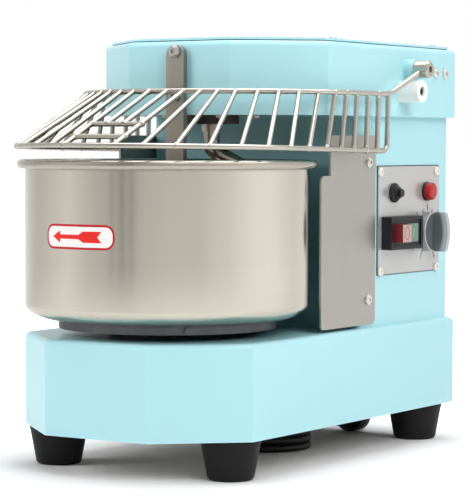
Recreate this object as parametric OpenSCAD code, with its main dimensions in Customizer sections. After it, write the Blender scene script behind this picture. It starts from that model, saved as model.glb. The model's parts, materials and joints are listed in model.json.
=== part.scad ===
// Countertop spiral dough mixer.
// +X is the machine's right side, -Y its bowl side, +Z up.
// The origin is on the ground, under the middle of the machine.

/* [Bowl] */
// Outer radius of the bowl's wall
bowl_r = 130; // [126:0.5:131]
// Thickness of the bowl's sheet
bowl_wall = 1.2; // [1:0.1:2]
// Height of the bowl's underside
bowl_z0 = 135.5; // [134:0.5:137]
// Height of the bowl's rim
bowl_z1 = 282; // [276:1:284]
// Radius of the bend between the bowl's wall and its floor
bowl_bend = 15; // [8:1:24]
// Radius of the rolled rim's section
rim_roll = 4.2; // [3:0.1:4.4]
// Radius of the disc that carries the bowl
disc_r = 100; // [80:1:110]

/* [Housing] */
// Width of the base and of the head
body_w = 251; // [246:1:256]
// Width of the flat front between the two slanted corners
nose_w = 111; // [90:1:130]
// Depth of the whole machine, from the base's nose to its back
base_d = 443; // [436:1:450]
// Ground to the underside of the base
base_z0 = 36; // [30:1:40]
// Ground to the top of the base
base_z1 = 122; // [118:1:124]
// Ground to the underside of the head
head_z0 = 323; // [321:1:330]
// Ground to the top of the head
head_z1 = 391; // [388:1:400]
// Thickness of the painted sheet
sheet = 2; // [1.5:0.1:2.5]
// Radius of the rounded top edges
edge_r = 5; // [3:0.5:7]
// Width of the column between base and head
column_w = 236; // [230:1:240]

/* [Guard] */
// Diameter of the guard's wire
wire_d = 5; // [4:0.2:6]
// Radius of both of the guard's hoops
hoop_r = 137.5; // [136:0.5:140]
// Height of the lower hoop
hoop_z0 = 292.6; // [290:0.2:295]
// Height of the upper hoop
hoop_z1 = 343.8; // [338:0.2:348]
// How far the upper hoop sits behind the lower one
hoop_setback = 108; // [100:1:114]
// Slope of the lower hoop, which rises towards its front
hoop_slope = 0.9; // [0:0.1:1.5]

/* [Controls] */
// Width of the control plate
panel_w = 125; // [121:1:129]
// Height of the control plate
panel_h = 104; // [100:1:108]
// Diameter of the timer knob's skirt
knob_d = 39; // [32:1:42]

/* [Hidden] */
$fn = 48;

// Places along the machine, from the bowl side to the back.
bowl_y = -95;
back_y = 235;
base_front_y = back_y - base_d;
base_shoulder_y = -146;
head_front_y = -78;
head_shoulder_y = -18;
column_y0 = 53;
column_y1 = 234.5;
spiral_y = -22;
counter_y = 75;
motor_y = 160;
pivot_y = 133;
pivot_z = 368.5;

side_x = body_w / 2;
wall_x = column_w / 2;
fit_gap = 0.05;
clear = 0.3;

paint = "paleturquoise";
steel = "silver";
dark = "dimgray";

// Outline of the base and of the head: a box whose two front corners are cut off.
function nose_outline(front, shoulder) = [
    [-side_x, back_y], [-side_x, shoulder], [-nose_w / 2, front],
    [nose_w / 2, front], [side_x, shoulder], [side_x, back_y]];

module nose_shape(front, shoulder, inset = 0, corner = 2) {
    offset(r = corner, $fn = 24) offset(delta = -corner - inset) polygon(nose_outline(front, shoulder));
}

// A nose-shaped block whose top edges are rounded off.
module nose_block(front, shoulder, z0, z1) {
    steps = 4;
    hull() {
        translate([0, 0, z0]) linear_extrude(0.01) nose_shape(front, shoulder);
        for (i = [0:steps]) {
            turn = 90 * i / steps;
            translate([0, 0, z1 - edge_r + edge_r * sin(turn) - 0.01])
                linear_extrude(0.01)
                    nose_shape(front, shoulder, edge_r * (1 - cos(turn)));
        }
    }
}

// A plate in the YZ plane, from x0 outwards.
module side_plate(x0, thick) {
    translate([x0, 0, 0]) rotate([90, 0, 90]) linear_extrude(thick) children();
}

// A cylinder along +X that starts at x0.
module x_rod(x0, y, z, r, length) {
    translate([x0, y, z]) rotate([0, 90, 0]) cylinder(r = r, h = length);
}

// A cylinder from point a to point b.
module rod(a, b, r) {
    d = b - a;
    turn = atan2(d[1], d[0]);
    lean = acos(d[2] / norm(d));
    translate(a) rotate([0, lean, turn]) cylinder(r = r, h = norm(d));
}

// A screw with a domed head and a hexagon recess; its head's seat is at z = 0.
module screw(head_r, head_h, shank_r, shank_l, recess_r = 0) {
    difference() {
        union() {
            cylinder(r = head_r, h = head_h * 0.6);
            translate([0, 0, head_h * 0.6]) cylinder(r1 = head_r, r2 = head_r * 0.7, h = head_h * 0.4);
            if (shank_l > 0)
                translate([0, 0, -shank_l]) cylinder(r = shank_r, h = shank_l);
        }
        if (recess_r > 0)
            translate([0, 0, head_h * 0.45]) cylinder(r = recess_r, h = head_h, $fn = 6);
    }
}

// ---- Base ----

foot_places = [[-95, -135], [95, -135], [-95, 209], [95, 209]];
foot_top_r = 27;
foot_bottom_r = 21;
foot_screw_r = 4;
floor_thick = 2;
drive_hole = [[-100, 60], [100, 222]];

module drive_opening(z, h) {
    size = drive_hole[1] - drive_hole[0];
    translate([drive_hole[0][0], drive_hole[0][1], z]) cube([size[0], size[1], h]);
}

module base_shell() {
    color(paint) difference() {
        nose_block(base_front_y, base_shoulder_y, base_z0, base_z1);
        translate([0, 0, base_z0 - 1])
            linear_extrude(base_z1 - base_z0 + 1 - sheet)
                nose_shape(base_front_y, base_shoulder_y, sheet);
        translate([0, bowl_y, base_z1 - sheet - 1]) cylinder(r = 24, h = sheet + 2);
        drive_opening(base_z1 - sheet - 1, sheet + 2);
    }
}

module base_floor() {
    slot_count = 7;
    slot_pitch = 14;
    color(dark) difference() {
        translate([0, 0, base_z0])
            linear_extrude(floor_thick)
                nose_shape(base_front_y, base_shoulder_y, sheet);
        for (p = foot_places)
            translate([p[0], p[1], base_z0 - 1]) cylinder(r = foot_screw_r + 0.4, h = floor_thick + 2);
        for (i = [0:slot_count - 1])
            translate([-40, 110 + i * slot_pitch, base_z0 - 1]) cube([80, 5, floor_thick + 2]);
    }
}

module foot(place) {
    bolt_seat = 10;
    skirt = 4;
    color([0.13, 0.12, 0.12]) translate([place[0], place[1], 0]) difference() {
        rotate_extrude() difference() {
            union() {
                polygon([[0, 0], [foot_bottom_r - 2, 0], [foot_bottom_r, 2],
                    [foot_top_r - 0.4, base_z0 - skirt], [foot_top_r, base_z0 - skirt], [foot_top_r, base_z0],
                    [0, base_z0]]);
            }
            translate([-1, -1]) square([foot_screw_r + 5 + 1, bolt_seat + 1]);
        }
        translate([0, 0, -1]) cylinder(r = foot_screw_r + 0.4, h = base_z0 + 2);
    }
}

module foot_screws() {
    seat = 10;
    color(steel) for (p = foot_places)
        translate([p[0], p[1], 0]) {
            difference() {
                translate([0, 0, seat - 4]) cylinder(r = 6.5, h = 4);
                translate([0, 0, seat - 5]) cylinder(r = 3.2, h = 3, $fn = 6);
            }
            translate([0, 0, seat]) cylinder(r = foot_screw_r, h = base_z0 + floor_thick + 8 - seat);
            translate([0, 0, base_z0 + floor_thick]) cylinder(r = 7, h = 6, $fn = 6);
        }
}

// ---- Column ----

switch_z = 210.7;
switch_y = 125;
timer_y = 187;
timer_z = 209.7;
reset_y = 116.7;
reset_z = 249.4;
lamp_y = 184;
lamp_z = 249.8;
plate_bolts = [[67, 278.8], [66, 148.7]];
gland_x = -85;
gland_z = 150;

module column_section(inset = 0) {
    corner = 6;
    translate([0, (column_y0 + column_y1) / 2])
        offset(r = corner - inset)
            square([column_w - 2 * corner, column_y1 - column_y0 - 2 * corner], center = true);
}

module column_shell() {
    vent_count = 8;
    vent_pitch = 12;
    color(paint) difference() {
        translate([0, 0, base_z1]) linear_extrude(head_z0 - base_z1) column_section();
        translate([0, 0, base_z1 - 1]) linear_extrude(head_z0 - base_z1 + 2) column_section(sheet);
        // Holes behind the control plate.
        x_rod(wall_x - 10, reset_y, reset_z, 6.2, 20);
        x_rod(wall_x - 10, lamp_y, lamp_z, 6.2, 20);
        x_rod(wall_x - 10, timer_y, timer_z, 6, 20);
        translate([wall_x - 10, switch_y - 26, switch_z - 11]) cube([20, 52, 22]);
        // Vents in the back wall.
        for (i = [0:vent_count - 1], side = [-1, 1])
            translate([side * 40 - 25, column_y1 - 10, 180 + i * vent_pitch]) cube([50, 20, 4]);
        // Cord outlet.
        translate([gland_x, column_y1 + 10, gland_z]) rotate([90, 0, 0]) cylinder(r = 8, h = 20);
        // Holes for the side plates' bolts.
        for (side = [-1, 1], b = plate_bolts)
            x_rod(side * wall_x - 10, b[0], b[1], 3.2, 20);
    }
}

// ---- Head ----

lid_inset = 5.5;
lid_seal = 0.8;
lid_thick = 2;
lip_w = 22;
lid_bolts = [[-110, 16], [110, 16], [-110, 214], [110, 214]];
divider_bolts_z = [381, 340.7];
boss_r = 10;
boss_l = 10;
shaft_r = 5;
side_screws = [[190.6, 366.5], [210.6, 366.5]];
bush_y = 121;
bush_z = 347;
bush_r = 10.5;
bush_l = 23;
flange_bolt = 30;
flange_t = 6;
spiral_boss_r = 26;
spiral_boss_h = 8;

module head_shell() {
    color(paint) difference() {
        union() {
            nose_block(head_front_y, head_shoulder_y, head_z0, head_z1);
            for (side = [-1, 1])
                x_rod(side > 0 ? side_x - 1 : -side_x - boss_l, pivot_y, pivot_z, boss_r, boss_l + 1);
        }
        translate([0, 0, head_z0 + sheet])
            linear_extrude(head_z1 - head_z0 - 2 * sheet)
                nose_shape(head_front_y, head_shoulder_y, sheet);
        translate([0, 0, head_z1 - sheet - 1])
            linear_extrude(sheet + 2)
                nose_shape(head_front_y, head_shoulder_y, lip_w);
        for (p = lid_bolts)
            translate([p[0], p[1], head_z1 - sheet - 1]) cylinder(r = 2 + fit_gap, h = 6);
        x_rod(-side_x - boss_l - 1, pivot_y, pivot_z, shaft_r + fit_gap, 2 * side_x + 2 * boss_l + 2);
        translate([0, spiral_y, head_z0 - 1]) cylinder(r = spiral_boss_r + 0.2, h = sheet + 2);
        drive_opening(head_z0 - 1, sheet + 2);
        for (sx = [-1, 1], sy = [-1, 1])
            translate([sx * flange_bolt, spiral_y + sy * flange_bolt, head_z0 - 1])
                cylinder(r = 3.2, h = sheet + 2);
        for (z = divider_bolts_z)
            translate([0, head_front_y + 10, z]) rotate([90, 0, 0]) cylinder(r = 4.2, h = 20);
        for (s = side_screws)
            x_rod(side_x - 10, s[0], s[1], 2.2, 20);
        for (side = [-1, 1])
            x_rod(side * side_x - 10, bush_y, bush_z, 3.2, 20);
    }
}

module lid_gasket() {
    color([0.15, 0.17, 0.17]) difference() {
        translate([0, 0, head_z1])
            linear_extrude(lid_seal)
                nose_shape(head_front_y, head_shoulder_y, lid_inset + 0.8);
        translate([0, 0, head_z1 - 1])
            linear_extrude(lid_seal + 2)
                nose_shape(head_front_y, head_shoulder_y, lip_w);
        for (p = lid_bolts)
            translate([p[0], p[1], head_z1 - 1]) cylinder(r = 2.4, h = 4);
    }
}

module head_lid() {
    color(paint) difference() {
        translate([0, 0, head_z1 + lid_seal])
            linear_extrude(lid_thick)
                nose_shape(head_front_y, head_shoulder_y, lid_inset);
        for (p = lid_bolts)
            translate([p[0], p[1], head_z1]) cylinder(r = 2.4, h = 5);
    }
}

module lid_screws() {
    color(steel) for (p = lid_bolts)
        translate([p[0], p[1], head_z1 + lid_seal + lid_thick])
            screw(3.6, 2.4, 2, lid_thick + lid_seal + sheet, 1.4);
}

module divider_bar() {
    width = 19.4;
    thick = 6;
    bottom_z = 150;
    top_z = 387;
    color(steel) difference() {
        translate([0, head_front_y, 0]) rotate([90, 0, 0]) linear_extrude(thick) {
            translate([-width / 2, bottom_z + width / 2]) square([width, top_z - bottom_z - width]);
            translate([0, bottom_z + width / 2]) circle(d = width);
            translate([0, top_z - width / 2]) circle(d = width);
        }
        for (z = divider_bolts_z)
            translate([0, head_front_y + 1, z]) rotate([90, 0, 0]) cylinder(r = 4.2, h = thick + 2);
    }
}

module divider_bolts() {
    color(steel) for (z = divider_bolts_z)
        translate([0, head_front_y - 6, z]) rotate([90, 0, 0]) screw(6, 3.6, 4, 16, 2.4);
}

// ---- Side plates beside the bowl ----

plate_rear_y = 80.5;
plate_thick = 2;

module bowl_plate_shape() {
    corner = 5;
    top_z = 304.5;
    step_z = 267;
    foot_z = 125;
    offset(r = corner) offset(delta = -corner)
        polygon([[plate_rear_y, foot_z], [plate_rear_y, top_z], [-4.2, top_z], [-4.2, step_z],
            [-21, step_z], [-21, foot_z]]);
}

module bowl_plate(side) {
    color("rosybrown") difference() {
        side_plate(side > 0 ? wall_x : -wall_x - plate_thick, plate_thick) bowl_plate_shape();
        for (b = plate_bolts)
            x_rod(side * wall_x - 10, b[0], b[1], 3.2, 20);
    }
}

// The side plates' screws and the spiral bearing's four bolts are the same size.
module m6_screws() {
    color(steel) {
        for (side = [-1, 1], b = plate_bolts)
            translate([side * (wall_x + plate_thick), b[0], b[1]])
                rotate([0, side * 90, 0]) screw(5, 3, 3, 8, 1.8);
        for (sx = [-1, 1], sy = [-1, 1])
            translate([sx * flange_bolt, spiral_y + sy * flange_bolt, head_z0])
                rotate([180, 0, 0]) screw(5, 3, 3, sheet + flange_t + 2, 1.8);
    }
}

// ---- Control plate ----

seal_thick = 0.6;
panel_thick = 1.2;
panel_x = wall_x + seal_thick + panel_thick;
panel_y = 149.5;
panel_z = 223;
// The screws sit closer to the plate's front and lower edges than to the others.
panel_screw_middle = [148, 221.8];
panel_screw_y = 57.4;
panel_screw_z = 47.7;

module panel_holes(extra = 0) {
    translate([reset_y, reset_z]) circle(r = 6 + extra);
    translate([lamp_y, lamp_z]) circle(r = 6 + extra);
    translate([timer_y, timer_z]) circle(r = 5 + extra);
    translate([switch_y - 25.5, switch_z - 10.5]) square([51, 21]);
    for (sy = [-1, 1], sz = [-1, 1])
        translate(panel_screw_middle + [sy * panel_screw_y, sz * panel_screw_z]) circle(r = 2.2 + extra);
}

module panel_seal() {
    color([0.2, 0.3, 0.32]) side_plate(wall_x, seal_thick) difference() {
        translate([panel_y - panel_w / 2 - 0.8, panel_z - panel_h / 2 - 0.8])
            square([panel_w + 1.6, panel_h + 1.6]);
        panel_holes(0.2);
    }
}

module control_plate() {
    color("gainsboro") side_plate(wall_x + seal_thick, panel_thick) difference() {
        translate([panel_y - panel_w / 2, panel_z - panel_h / 2]) square([panel_w, panel_h]);
        panel_holes();
    }
}

module panel_screws() {
    color("white") for (sy = [-1, 1], sz = [-1, 1])
        translate([panel_x, panel_screw_middle[0] + sy * panel_screw_y, panel_screw_middle[1] + sz * panel_screw_z])
            rotate([0, 90, 0]) screw(4.6, 2, 2, 3, 1.4);
}

switch_w = 64;
switch_h = 32;
switch_d = 11.2;
button_w = 18;
button_h = 17.6;
stop_y = switch_y - 16.5;
start_y = switch_y + 11;
button_travel = 4;
start_proud = 1;
stop_proud = 8.5;

module button_well(y, depth) {
    well = 0.3;
    translate([panel_x + switch_d - depth, y - button_w / 2 - well, switch_z - button_h / 2 - well])
        cube([depth + 1, button_w + 2 * well, button_h + 2 * well]);
}

module switch_housing() {
    rim = 3.4;
    color([0.09, 0.09, 0.09]) difference() {
        union() {
            side_plate(panel_x, switch_d) translate([switch_y, switch_z])
                offset(r = 2) square([switch_w - 4, switch_h - 4], center = true);
            translate([panel_x - 22, switch_y - 25, switch_z - 10]) cube([22.5, 50, 20]);
        }
        // Shallow recess round both buttons.
        translate([panel_x + switch_d - 1.5, switch_y - switch_w / 2 + rim, switch_z - switch_h / 2 + rim])
            cube([3, switch_w - 2 * rim, switch_h - 2 * rim]);
        button_well(stop_y, 9);
        button_well(start_y, 9);
    }
}

module push_button(y, proud) {
    back = 4.5;
    color(proud > 5 ? "firebrick" : "mediumseagreen")
        side_plate(panel_x + switch_d - back, back + proud) translate([y, switch_z])
            offset(r = 1) square([button_w - 2, button_h - 2], center = true);
}

module reset_nut() {
    color([0.08, 0.08, 0.08]) translate([panel_x, reset_y, reset_z]) rotate([0, 90, 0]) difference() {
        union() {
            cylinder(r = 8.6, h = 2.4);
            translate([0, 0, 2.4]) cylinder(r1 = 8.2, r2 = 5.6, h = 4);
            translate([0, 0, -14]) cylinder(r = 5.8, h = 14.1);
        }
        translate([0, 0, -6]) cylinder(r = 4.2, h = 20);
    }
}

module reset_button() {
    color([0.06, 0.06, 0.06]) x_rod(panel_x - 1, reset_y, reset_z, 3.9, 11);
}

module lamp_bezel() {
    color([0.08, 0.08, 0.08]) translate([panel_x, lamp_y, lamp_z]) rotate([0, 90, 0]) {
        cylinder(r = 8.2, h = 2.6);
        translate([0, 0, -18]) cylinder(r = 5.8, h = 18.1);
    }
}

module lamp_lens() {
    color("red") translate([panel_x + 2.6, lamp_y, lamp_z]) rotate([0, 90, 0]) {
        cylinder(r = 7.8, h = 5);
        translate([0, 0, 5]) cylinder(r1 = 7.8, r2 = 6.4, h = 1.4);
    }
}

knob_l = 24;
knob_wing = 6;
knob_spindle_r = 3;

module timer_knob() {
    skirt = 3;
    start = panel_x + clear;
    color([0.5, 0.53, 0.58, 0.8]) {
        x_rod(start, timer_y, timer_z, knob_d / 2, skirt);
        intersection() {
            translate([start, timer_y - knob_wing / 2, timer_z - knob_d / 2])
                cube([knob_l, knob_wing, knob_d]);
            translate([start + knob_l - 60, timer_y - knob_wing, timer_z])
                rotate([-90, 0, 0]) cylinder(r = 60, h = 2 * knob_wing, $fn = 96);
            x_rod(start, timer_y, timer_z, knob_d / 2, knob_l);
        }
        x_rod(wall_x - sheet - 8, timer_y, timer_z, knob_spindle_r, start - wall_x + sheet + 9);
    }
}

module timer_body() {
    size = 42;
    depth = 36;
    color(dark) difference() {
        translate([wall_x - sheet - depth, timer_y - size / 2, timer_z - size / 2])
            cube([depth, size, size]);
        x_rod(wall_x - sheet - 10, timer_y, timer_z, knob_spindle_r + fit_gap, 20);
    }
}

// ---- Guard ----

collar_x = side_x + boss_l + clear;
collar_r = 8.5;
collar_l = 15;
// Straight run of each hoop behind its round front.
hoop0_y = bowl_y;
hoop1_y = bowl_y + hoop_setback;
// Pitches of the bars' lower ends along the lower hoop, from the middle outwards.
foot_pitch = [17, 17, 26, 29, 29.5, 29.5, 29, 30, 31, 31, 26, 23, 24, 20.5, 19.5];
// Pitches of the bars' upper ends along the upper hoop, from the middle outwards.
top_pitch = [18, 16.5, 16, 15.5, 16, 20, 19.5, 20, 21, 20, 16, 17.5, 20.5, 20, 19];

function sum_to(list, n) = n == 0 ? 0 : list[n - 1] + sum_to(list, n - 1);

// Point on a hoop at a signed distance from the middle of its front.
function hoop_point(cy, z, s) =
    let (quarter = hoop_r * PI / 2, side = sign(s), a = min(abs(s), quarter) / hoop_r * 180 / PI)
    [side * hoop_r * sin(a), cy - hoop_r * cos(a) + max(0, abs(s) - quarter), z];

// The same point, moved up or down onto the lower hoop's slope.
function sloped(p) = [p[0], p[1], p[2] + (hoop0_y - p[1]) * tan(hoop_slope)];

function foot_point(n) = sloped(hoop_point(hoop0_y, hoop_z0, sign(n) * sum_to(foot_pitch, abs(n))));
function top_point(n) = hoop_point(hoop1_y, hoop_z1, sign(n) * sum_to(top_pitch, abs(n)));
function bar_point(n, t) = foot_point(n) + t * (top_point(n) - foot_point(n));

bar_last = len(foot_pitch);
// Two bars stop short and leave the feed opening; two cross wires tie their neighbours.
short_bars = [0, 1];
cross_at = [0.22, 0.43];
cross_from = -1;
cross_to = 2;

hoop_steps = 36;
hoop_sides = 12;
arm_bend_y = 75;

function hoop_arc(cy, z) = [for (i = [0:hoop_steps])
    let (a = -90 + 180 * i / hoop_steps) [hoop_r * sin(a), cy - hoop_r * cos(a), z]];

// One side's arm, from the hoop's straight end up into the collar.
function arm_path(side) =
    let (
        knee = [side * hoop_r, arm_bend_y, hoop_z1],
        hole = [side * (collar_x + collar_l / 2), pivot_y, pivot_z],
        rise = (hole - knee) / norm(hole - knee))
    [knee - [0, 9, 0], knee - [0, 4, 0] + 0.4 * rise, knee + 4 * rise - [0, 0.4, 0], knee + 9 * rise,
        knee + 0.88 * (hole - knee)];

function reversed(list) = [for (i = [len(list) - 1:-1:0]) list[i]];

module wire(path) {
    tube(path, [for (p = path) wire_d / 2], [for (p = path) [0, 0, 1]], hoop_sides);
}

module guard_hoops() {
    lower_front = [for (p = hoop_arc(hoop0_y, hoop_z0)) sloped(p)];
    color(steel) {
        wire(concat([foot_point(-bar_last)], lower_front, [foot_point(bar_last)]));
        wire(concat(reversed(arm_path(-1)), hoop_arc(hoop1_y, hoop_z1), arm_path(1)));
    }
}

module guard_bars() {
    color(steel) {
        for (n = [-bar_last:bar_last]) {
            from = n == short_bars[0] || n == short_bars[1] ? cross_at[1] : 0;
            rod(bar_point(n, from), top_point(n), wire_d / 2 - 0.3, $fn = 16);
        }
        for (t = cross_at)
            rod(bar_point(cross_from, t), bar_point(cross_to, t), wire_d / 2 - 0.4, $fn = 16);
    }
}

module guard_collars() {
    chamfer = 1.5;
    socket_r = 3;
    color(steel) for (side = [-1, 1])
        translate([side * collar_x, pivot_y, pivot_z]) rotate([0, side * 90, 0]) difference() {
            union() {
                cylinder(r = collar_r, h = collar_l - chamfer);
                translate([0, 0, collar_l - chamfer])
                    cylinder(r1 = collar_r, r2 = collar_r - chamfer, h = chamfer);
            }
            translate([0, 0, -1]) cylinder(r = shaft_r, h = collar_l - 5);
            translate([0, 0, collar_l - 4]) cylinder(r = socket_r, h = 5);
        }
}

module pivot_shaft() {
    reach = collar_x + collar_l - 6;
    color(steel) {
        x_rod(-reach, pivot_y, pivot_z, shaft_r, 2 * reach);
    }
}

cam_x = 100;
cam_r = 12;
cam_w = 8;

module interlock_cam() {
    notch = 6;
    color("whitesmoke") difference() {
        x_rod(cam_x, pivot_y, pivot_z, cam_r, cam_w);
        x_rod(cam_x - 1, pivot_y, pivot_z, shaft_r, cam_w + 2);
        translate([cam_x - 1, pivot_y + cam_r - 3, pivot_z - notch / 2]) cube([cam_w + 2, 4, notch]);
    }
}

bracket_x = 109;

module interlock_switch() {
    body_y = pivot_y + cam_r + 3;
    color([0.1, 0.1, 0.12]) {
        translate([bracket_x - 10, body_y, pivot_z - 8]) cube([10, 28, 16]);
        translate([cam_x + 2, pivot_y + cam_r + 0.5, pivot_z - 2]) cube([4, 3, 4]);
    }
}

module interlock_bracket() {
    wall = side_x - sheet;
    fold_y = 186;
    color("lightgray") difference() {
        union() {
            translate([bracket_x, pivot_y + cam_r + 3, pivot_z - 12]) cube([2, fold_y - pivot_y - cam_r - 1, 22]);
            translate([bracket_x, fold_y, pivot_z - 12]) cube([wall - bracket_x, 2, 22]);
            translate([wall - 2, fold_y, pivot_z - 12]) cube([2, 36, 22]);
        }
        for (s = side_screws)
            x_rod(wall - 10, s[0], s[1], 2.2, 20);
    }
}

module head_side_screws() {
    color("white") for (s = side_screws)
        translate([side_x, s[0], s[1]]) rotate([0, 90, 0]) screw(5, 3, 2, 2 * sheet, 1.8);
}

module buffer_bushes() {
    color("white") for (side = [-1, 1])
        translate([side * side_x, bush_y, bush_z]) rotate([0, side * 90, 0]) difference() {
            cylinder(r = bush_r, h = bush_l);
            translate([0, 0, -1]) cylinder(r = 3.2, h = bush_l + 2);
            translate([0, 0, bush_l - 4]) cylinder(r = 5, h = 5);
        }
}

module bush_screws() {
    color(dark) for (side = [-1, 1])
        translate([side * (side_x + bush_l - 4), bush_y, bush_z])
            rotate([0, side * 90, 0]) screw(4.6, 2.6, 3, bush_l + sheet - 4, 2);
}

// ---- Bowl ----

bowl_shaft_r = 12.5;
counter_r = 8;
spiral_shaft_r = 8;
motor_shaft_r = 7;

module bowl_side(r, bend, z0, z1) {
    translate([0, z0]) square([r - bend, z1 - z0]);
    translate([0, z0 + bend]) square([r, z1 - z0 - bend]);
    translate([r - bend, z0 + bend]) circle(r = bend);
}

module bowl() {
    roll_r = bowl_r + rim_roll - 0.3;
    color("lightgray") translate([0, bowl_y, 0]) rotate_extrude($fn = 96) difference() {
        union() {
            bowl_side(bowl_r, bowl_bend, bowl_z0, bowl_z1 - rim_roll);
            translate([roll_r, bowl_z1 - rim_roll]) circle(r = rim_roll);
            translate([0, bowl_z1 - rim_roll - 0.6]) square([roll_r, 1.2]);
        }
        bowl_side(bowl_r - bowl_wall, bowl_bend - bowl_wall, bowl_z0 + bowl_wall, bowl_z1 + 10);
        translate([-200, 0]) square([200, 400]);
    }
}

module turntable() {
    disc_thick = 7;
    hub_r = 30;
    stud_angles = [-46, 74, 194];
    color("darkgray") translate([0, bowl_y, 0]) {
        rotate_extrude() difference() {
            union() {
                translate([0, bowl_z0 - disc_thick]) square([disc_r, disc_thick]);
                translate([0, base_z1 + 2]) square([hub_r, disc_thick]);
            }
            translate([-1, 0]) square([1 + bowl_shaft_r, bowl_z1]);
        }
        for (a = stud_angles)
            rotate([0, 0, a]) x_rod(disc_r - 2, 0, bowl_z0 - disc_thick / 2, 2.6, 5);
    }
}

module bowl_shaft() {
    bottom_z = 50;
    color(steel) translate([0, bowl_y, bottom_z]) cylinder(r = bowl_shaft_r, h = bowl_z0 - bottom_z);
}

module bowl_bearing() {
    hub_h = 32;
    hub_r = 26;
    flange_r = 44;
    flange_h = 6;
    top = base_z1 - sheet;
    color(dark) translate([0, bowl_y, 0]) difference() {
        union() {
            translate([0, 0, top - hub_h]) cylinder(r = hub_r, h = hub_h);
            translate([0, 0, top - flange_h]) cylinder(r = flange_r, h = flange_h);
        }
        translate([0, 0, top - hub_h - 1]) cylinder(r = bowl_shaft_r + fit_gap, h = hub_h + 2);
    }
}

// A belt pulley with a shallow groove; its bore is a press fit on its shaft.
module pulley(y, z, r, h, bore_r) {
    translate([0, y, z]) difference() {
        union() {
            cylinder(r = r, h = h);
            cylinder(r = r + 3, h = 2);
            translate([0, 0, h - 2]) cylinder(r = r + 3, h = 2);
        }
        translate([0, 0, -1]) cylinder(r = bore_r, h = h + 2);
    }
}

// A flat belt round two pulleys, kept clear of both.
module belt(y0, r0, y1, r1, z, h) {
    thick = 2.4;
    color([0.1, 0.1, 0.1]) translate([0, 0, z]) linear_extrude(h) difference() {
        hull() {
            translate([0, y0]) circle(r = r0 + clear + thick);
            translate([0, y1]) circle(r = r1 + clear + thick);
        }
        hull() {
            translate([0, y0]) circle(r = r0 + clear);
            translate([0, y1]) circle(r = r1 + clear);
        }
    }
}

low_belt_z = 56;
motor_belt_z = 82;
top_belt_z = 346;
belt_h = 10;
bowl_pulley_r = 80;
bowl_drive_r = 16;
motor_pulley_r = 15;
counter_pulley_r = 60;
spiral_drive_r = 36;
spiral_pulley_r = 24;
pulley_h = belt_h + 4 + 2 * clear;

// ---- Drive ----

module countershaft() {
    foot_gap = 4;
    top_z = 372;
    z0 = base_z0 + floor_thick + foot_gap;
    color(steel) translate([0, counter_y, z0]) cylinder(r = counter_r, h = top_z - z0);
}

// A bearing hub on a cross plate that rests on the sheet beside the drive opening.
module counter_bearing(z, plate_w) {
    hub_h = 14;
    hub_r = 15;
    plate_t = 6;
    difference() {
        union() {
            translate([0, counter_y, z]) cylinder(r = hub_r, h = hub_h);
            translate([-plate_w / 2, column_y0 + 4, z]) cube([plate_w, 38, plate_t]);
        }
        translate([0, counter_y, z - 1]) cylinder(r = counter_r + fit_gap, h = hub_h + 2);
    }
}

module counter_bearings() {
    color(dark) {
        counter_bearing(base_z0 + floor_thick, 64);
        counter_bearing(base_z1, 224);
        counter_bearing(head_z0 + sheet, 224);
    }
}

module spiral_bearing() {
    // Square flange bolted on the head's bottom sheet, with a round boss below it and a hub above.
    flange_w = 76;
    hub_r = 16.8;
    hub_h = 9;
    seat = head_z0 + sheet;
    color([0.3, 0.25, 0.22]) difference() {
        union() {
            translate([0, spiral_y, head_z0 - spiral_boss_h])
                cylinder(r = spiral_boss_r, h = spiral_boss_h + sheet + 1);
            translate([-flange_w / 2, spiral_y - flange_w / 2, seat])
                cube([flange_w, flange_w, flange_t]);
            translate([0, spiral_y, seat + flange_t - 1]) cylinder(r = hub_r, h = hub_h + 1);
        }
        translate([0, spiral_y, head_z0 - spiral_boss_h - 1])
            cylinder(r = spiral_shaft_r + fit_gap, h = 40);
        for (sx = [-1, 1], sy = [-1, 1])
            translate([sx * flange_bolt, spiral_y + sy * flange_bolt, seat - 1])
                cylinder(r = 3.2, h = flange_t + 2);
    }
}

// The spiral's centre line: down the shaft, out to its radius, round and down, and in again.
spiral_r = 41;
spiral_rod_r = 7.2;
spiral_neck_z = 308;
spiral_top_z = 294;
spiral_low_z = 152;
spiral_turns = 1.3;
spiral_steps = 56;

function ease(t) = t * t * (3 - 2 * t);
function spiral_point(t) =
    let (
        out = ease(min(1, t / 0.16)) * (1 - 0.62 * ease(max(0, (t - 0.8) / 0.2))),
        a = 360 * spiral_turns * t - 25,
        z = spiral_top_z - (spiral_top_z - spiral_low_z) * (0.10 * ease(min(1, t / 0.16)) + 0.9 * pow(t, 1.15)))
    [spiral_r * out * cos(a), spiral_r * out * sin(a), z];

function unit(v) = v / norm(v);
function along(path, i) =
    unit(path[min(i + 1, len(path) - 1)] - path[max(i - 1, 0)]);

// Rings of points round a path; each ring's first point faces the reference direction.
function ring(centre, dir, ref, r, sides) =
    let (u = unit(cross(dir, ref)), v = cross(dir, u))
    [for (k = [0:sides - 1]) centre + r * (cos(360 * k / sides) * u + sin(360 * k / sides) * v)];

function tube_faces(rings, sides) = concat(
    [[for (k = [0:sides - 1]) k]],
    [for (i = [0:rings - 2], k = [0:sides - 1])
        [i * sides + k, (i + 1) * sides + k, (i + 1) * sides + (k + 1) % sides, i * sides + (k + 1) % sides]],
    [[for (k = [sides - 1:-1:0]) (rings - 1) * sides + k]]);

module tube(path, radii, refs, sides) {
    points = [for (i = [0:len(path) - 1]) each ring(path[i], along(path, i), refs[i], radii[i], sides)];
    polyhedron(points, tube_faces(len(path), sides), convexity = 10);
}

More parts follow.
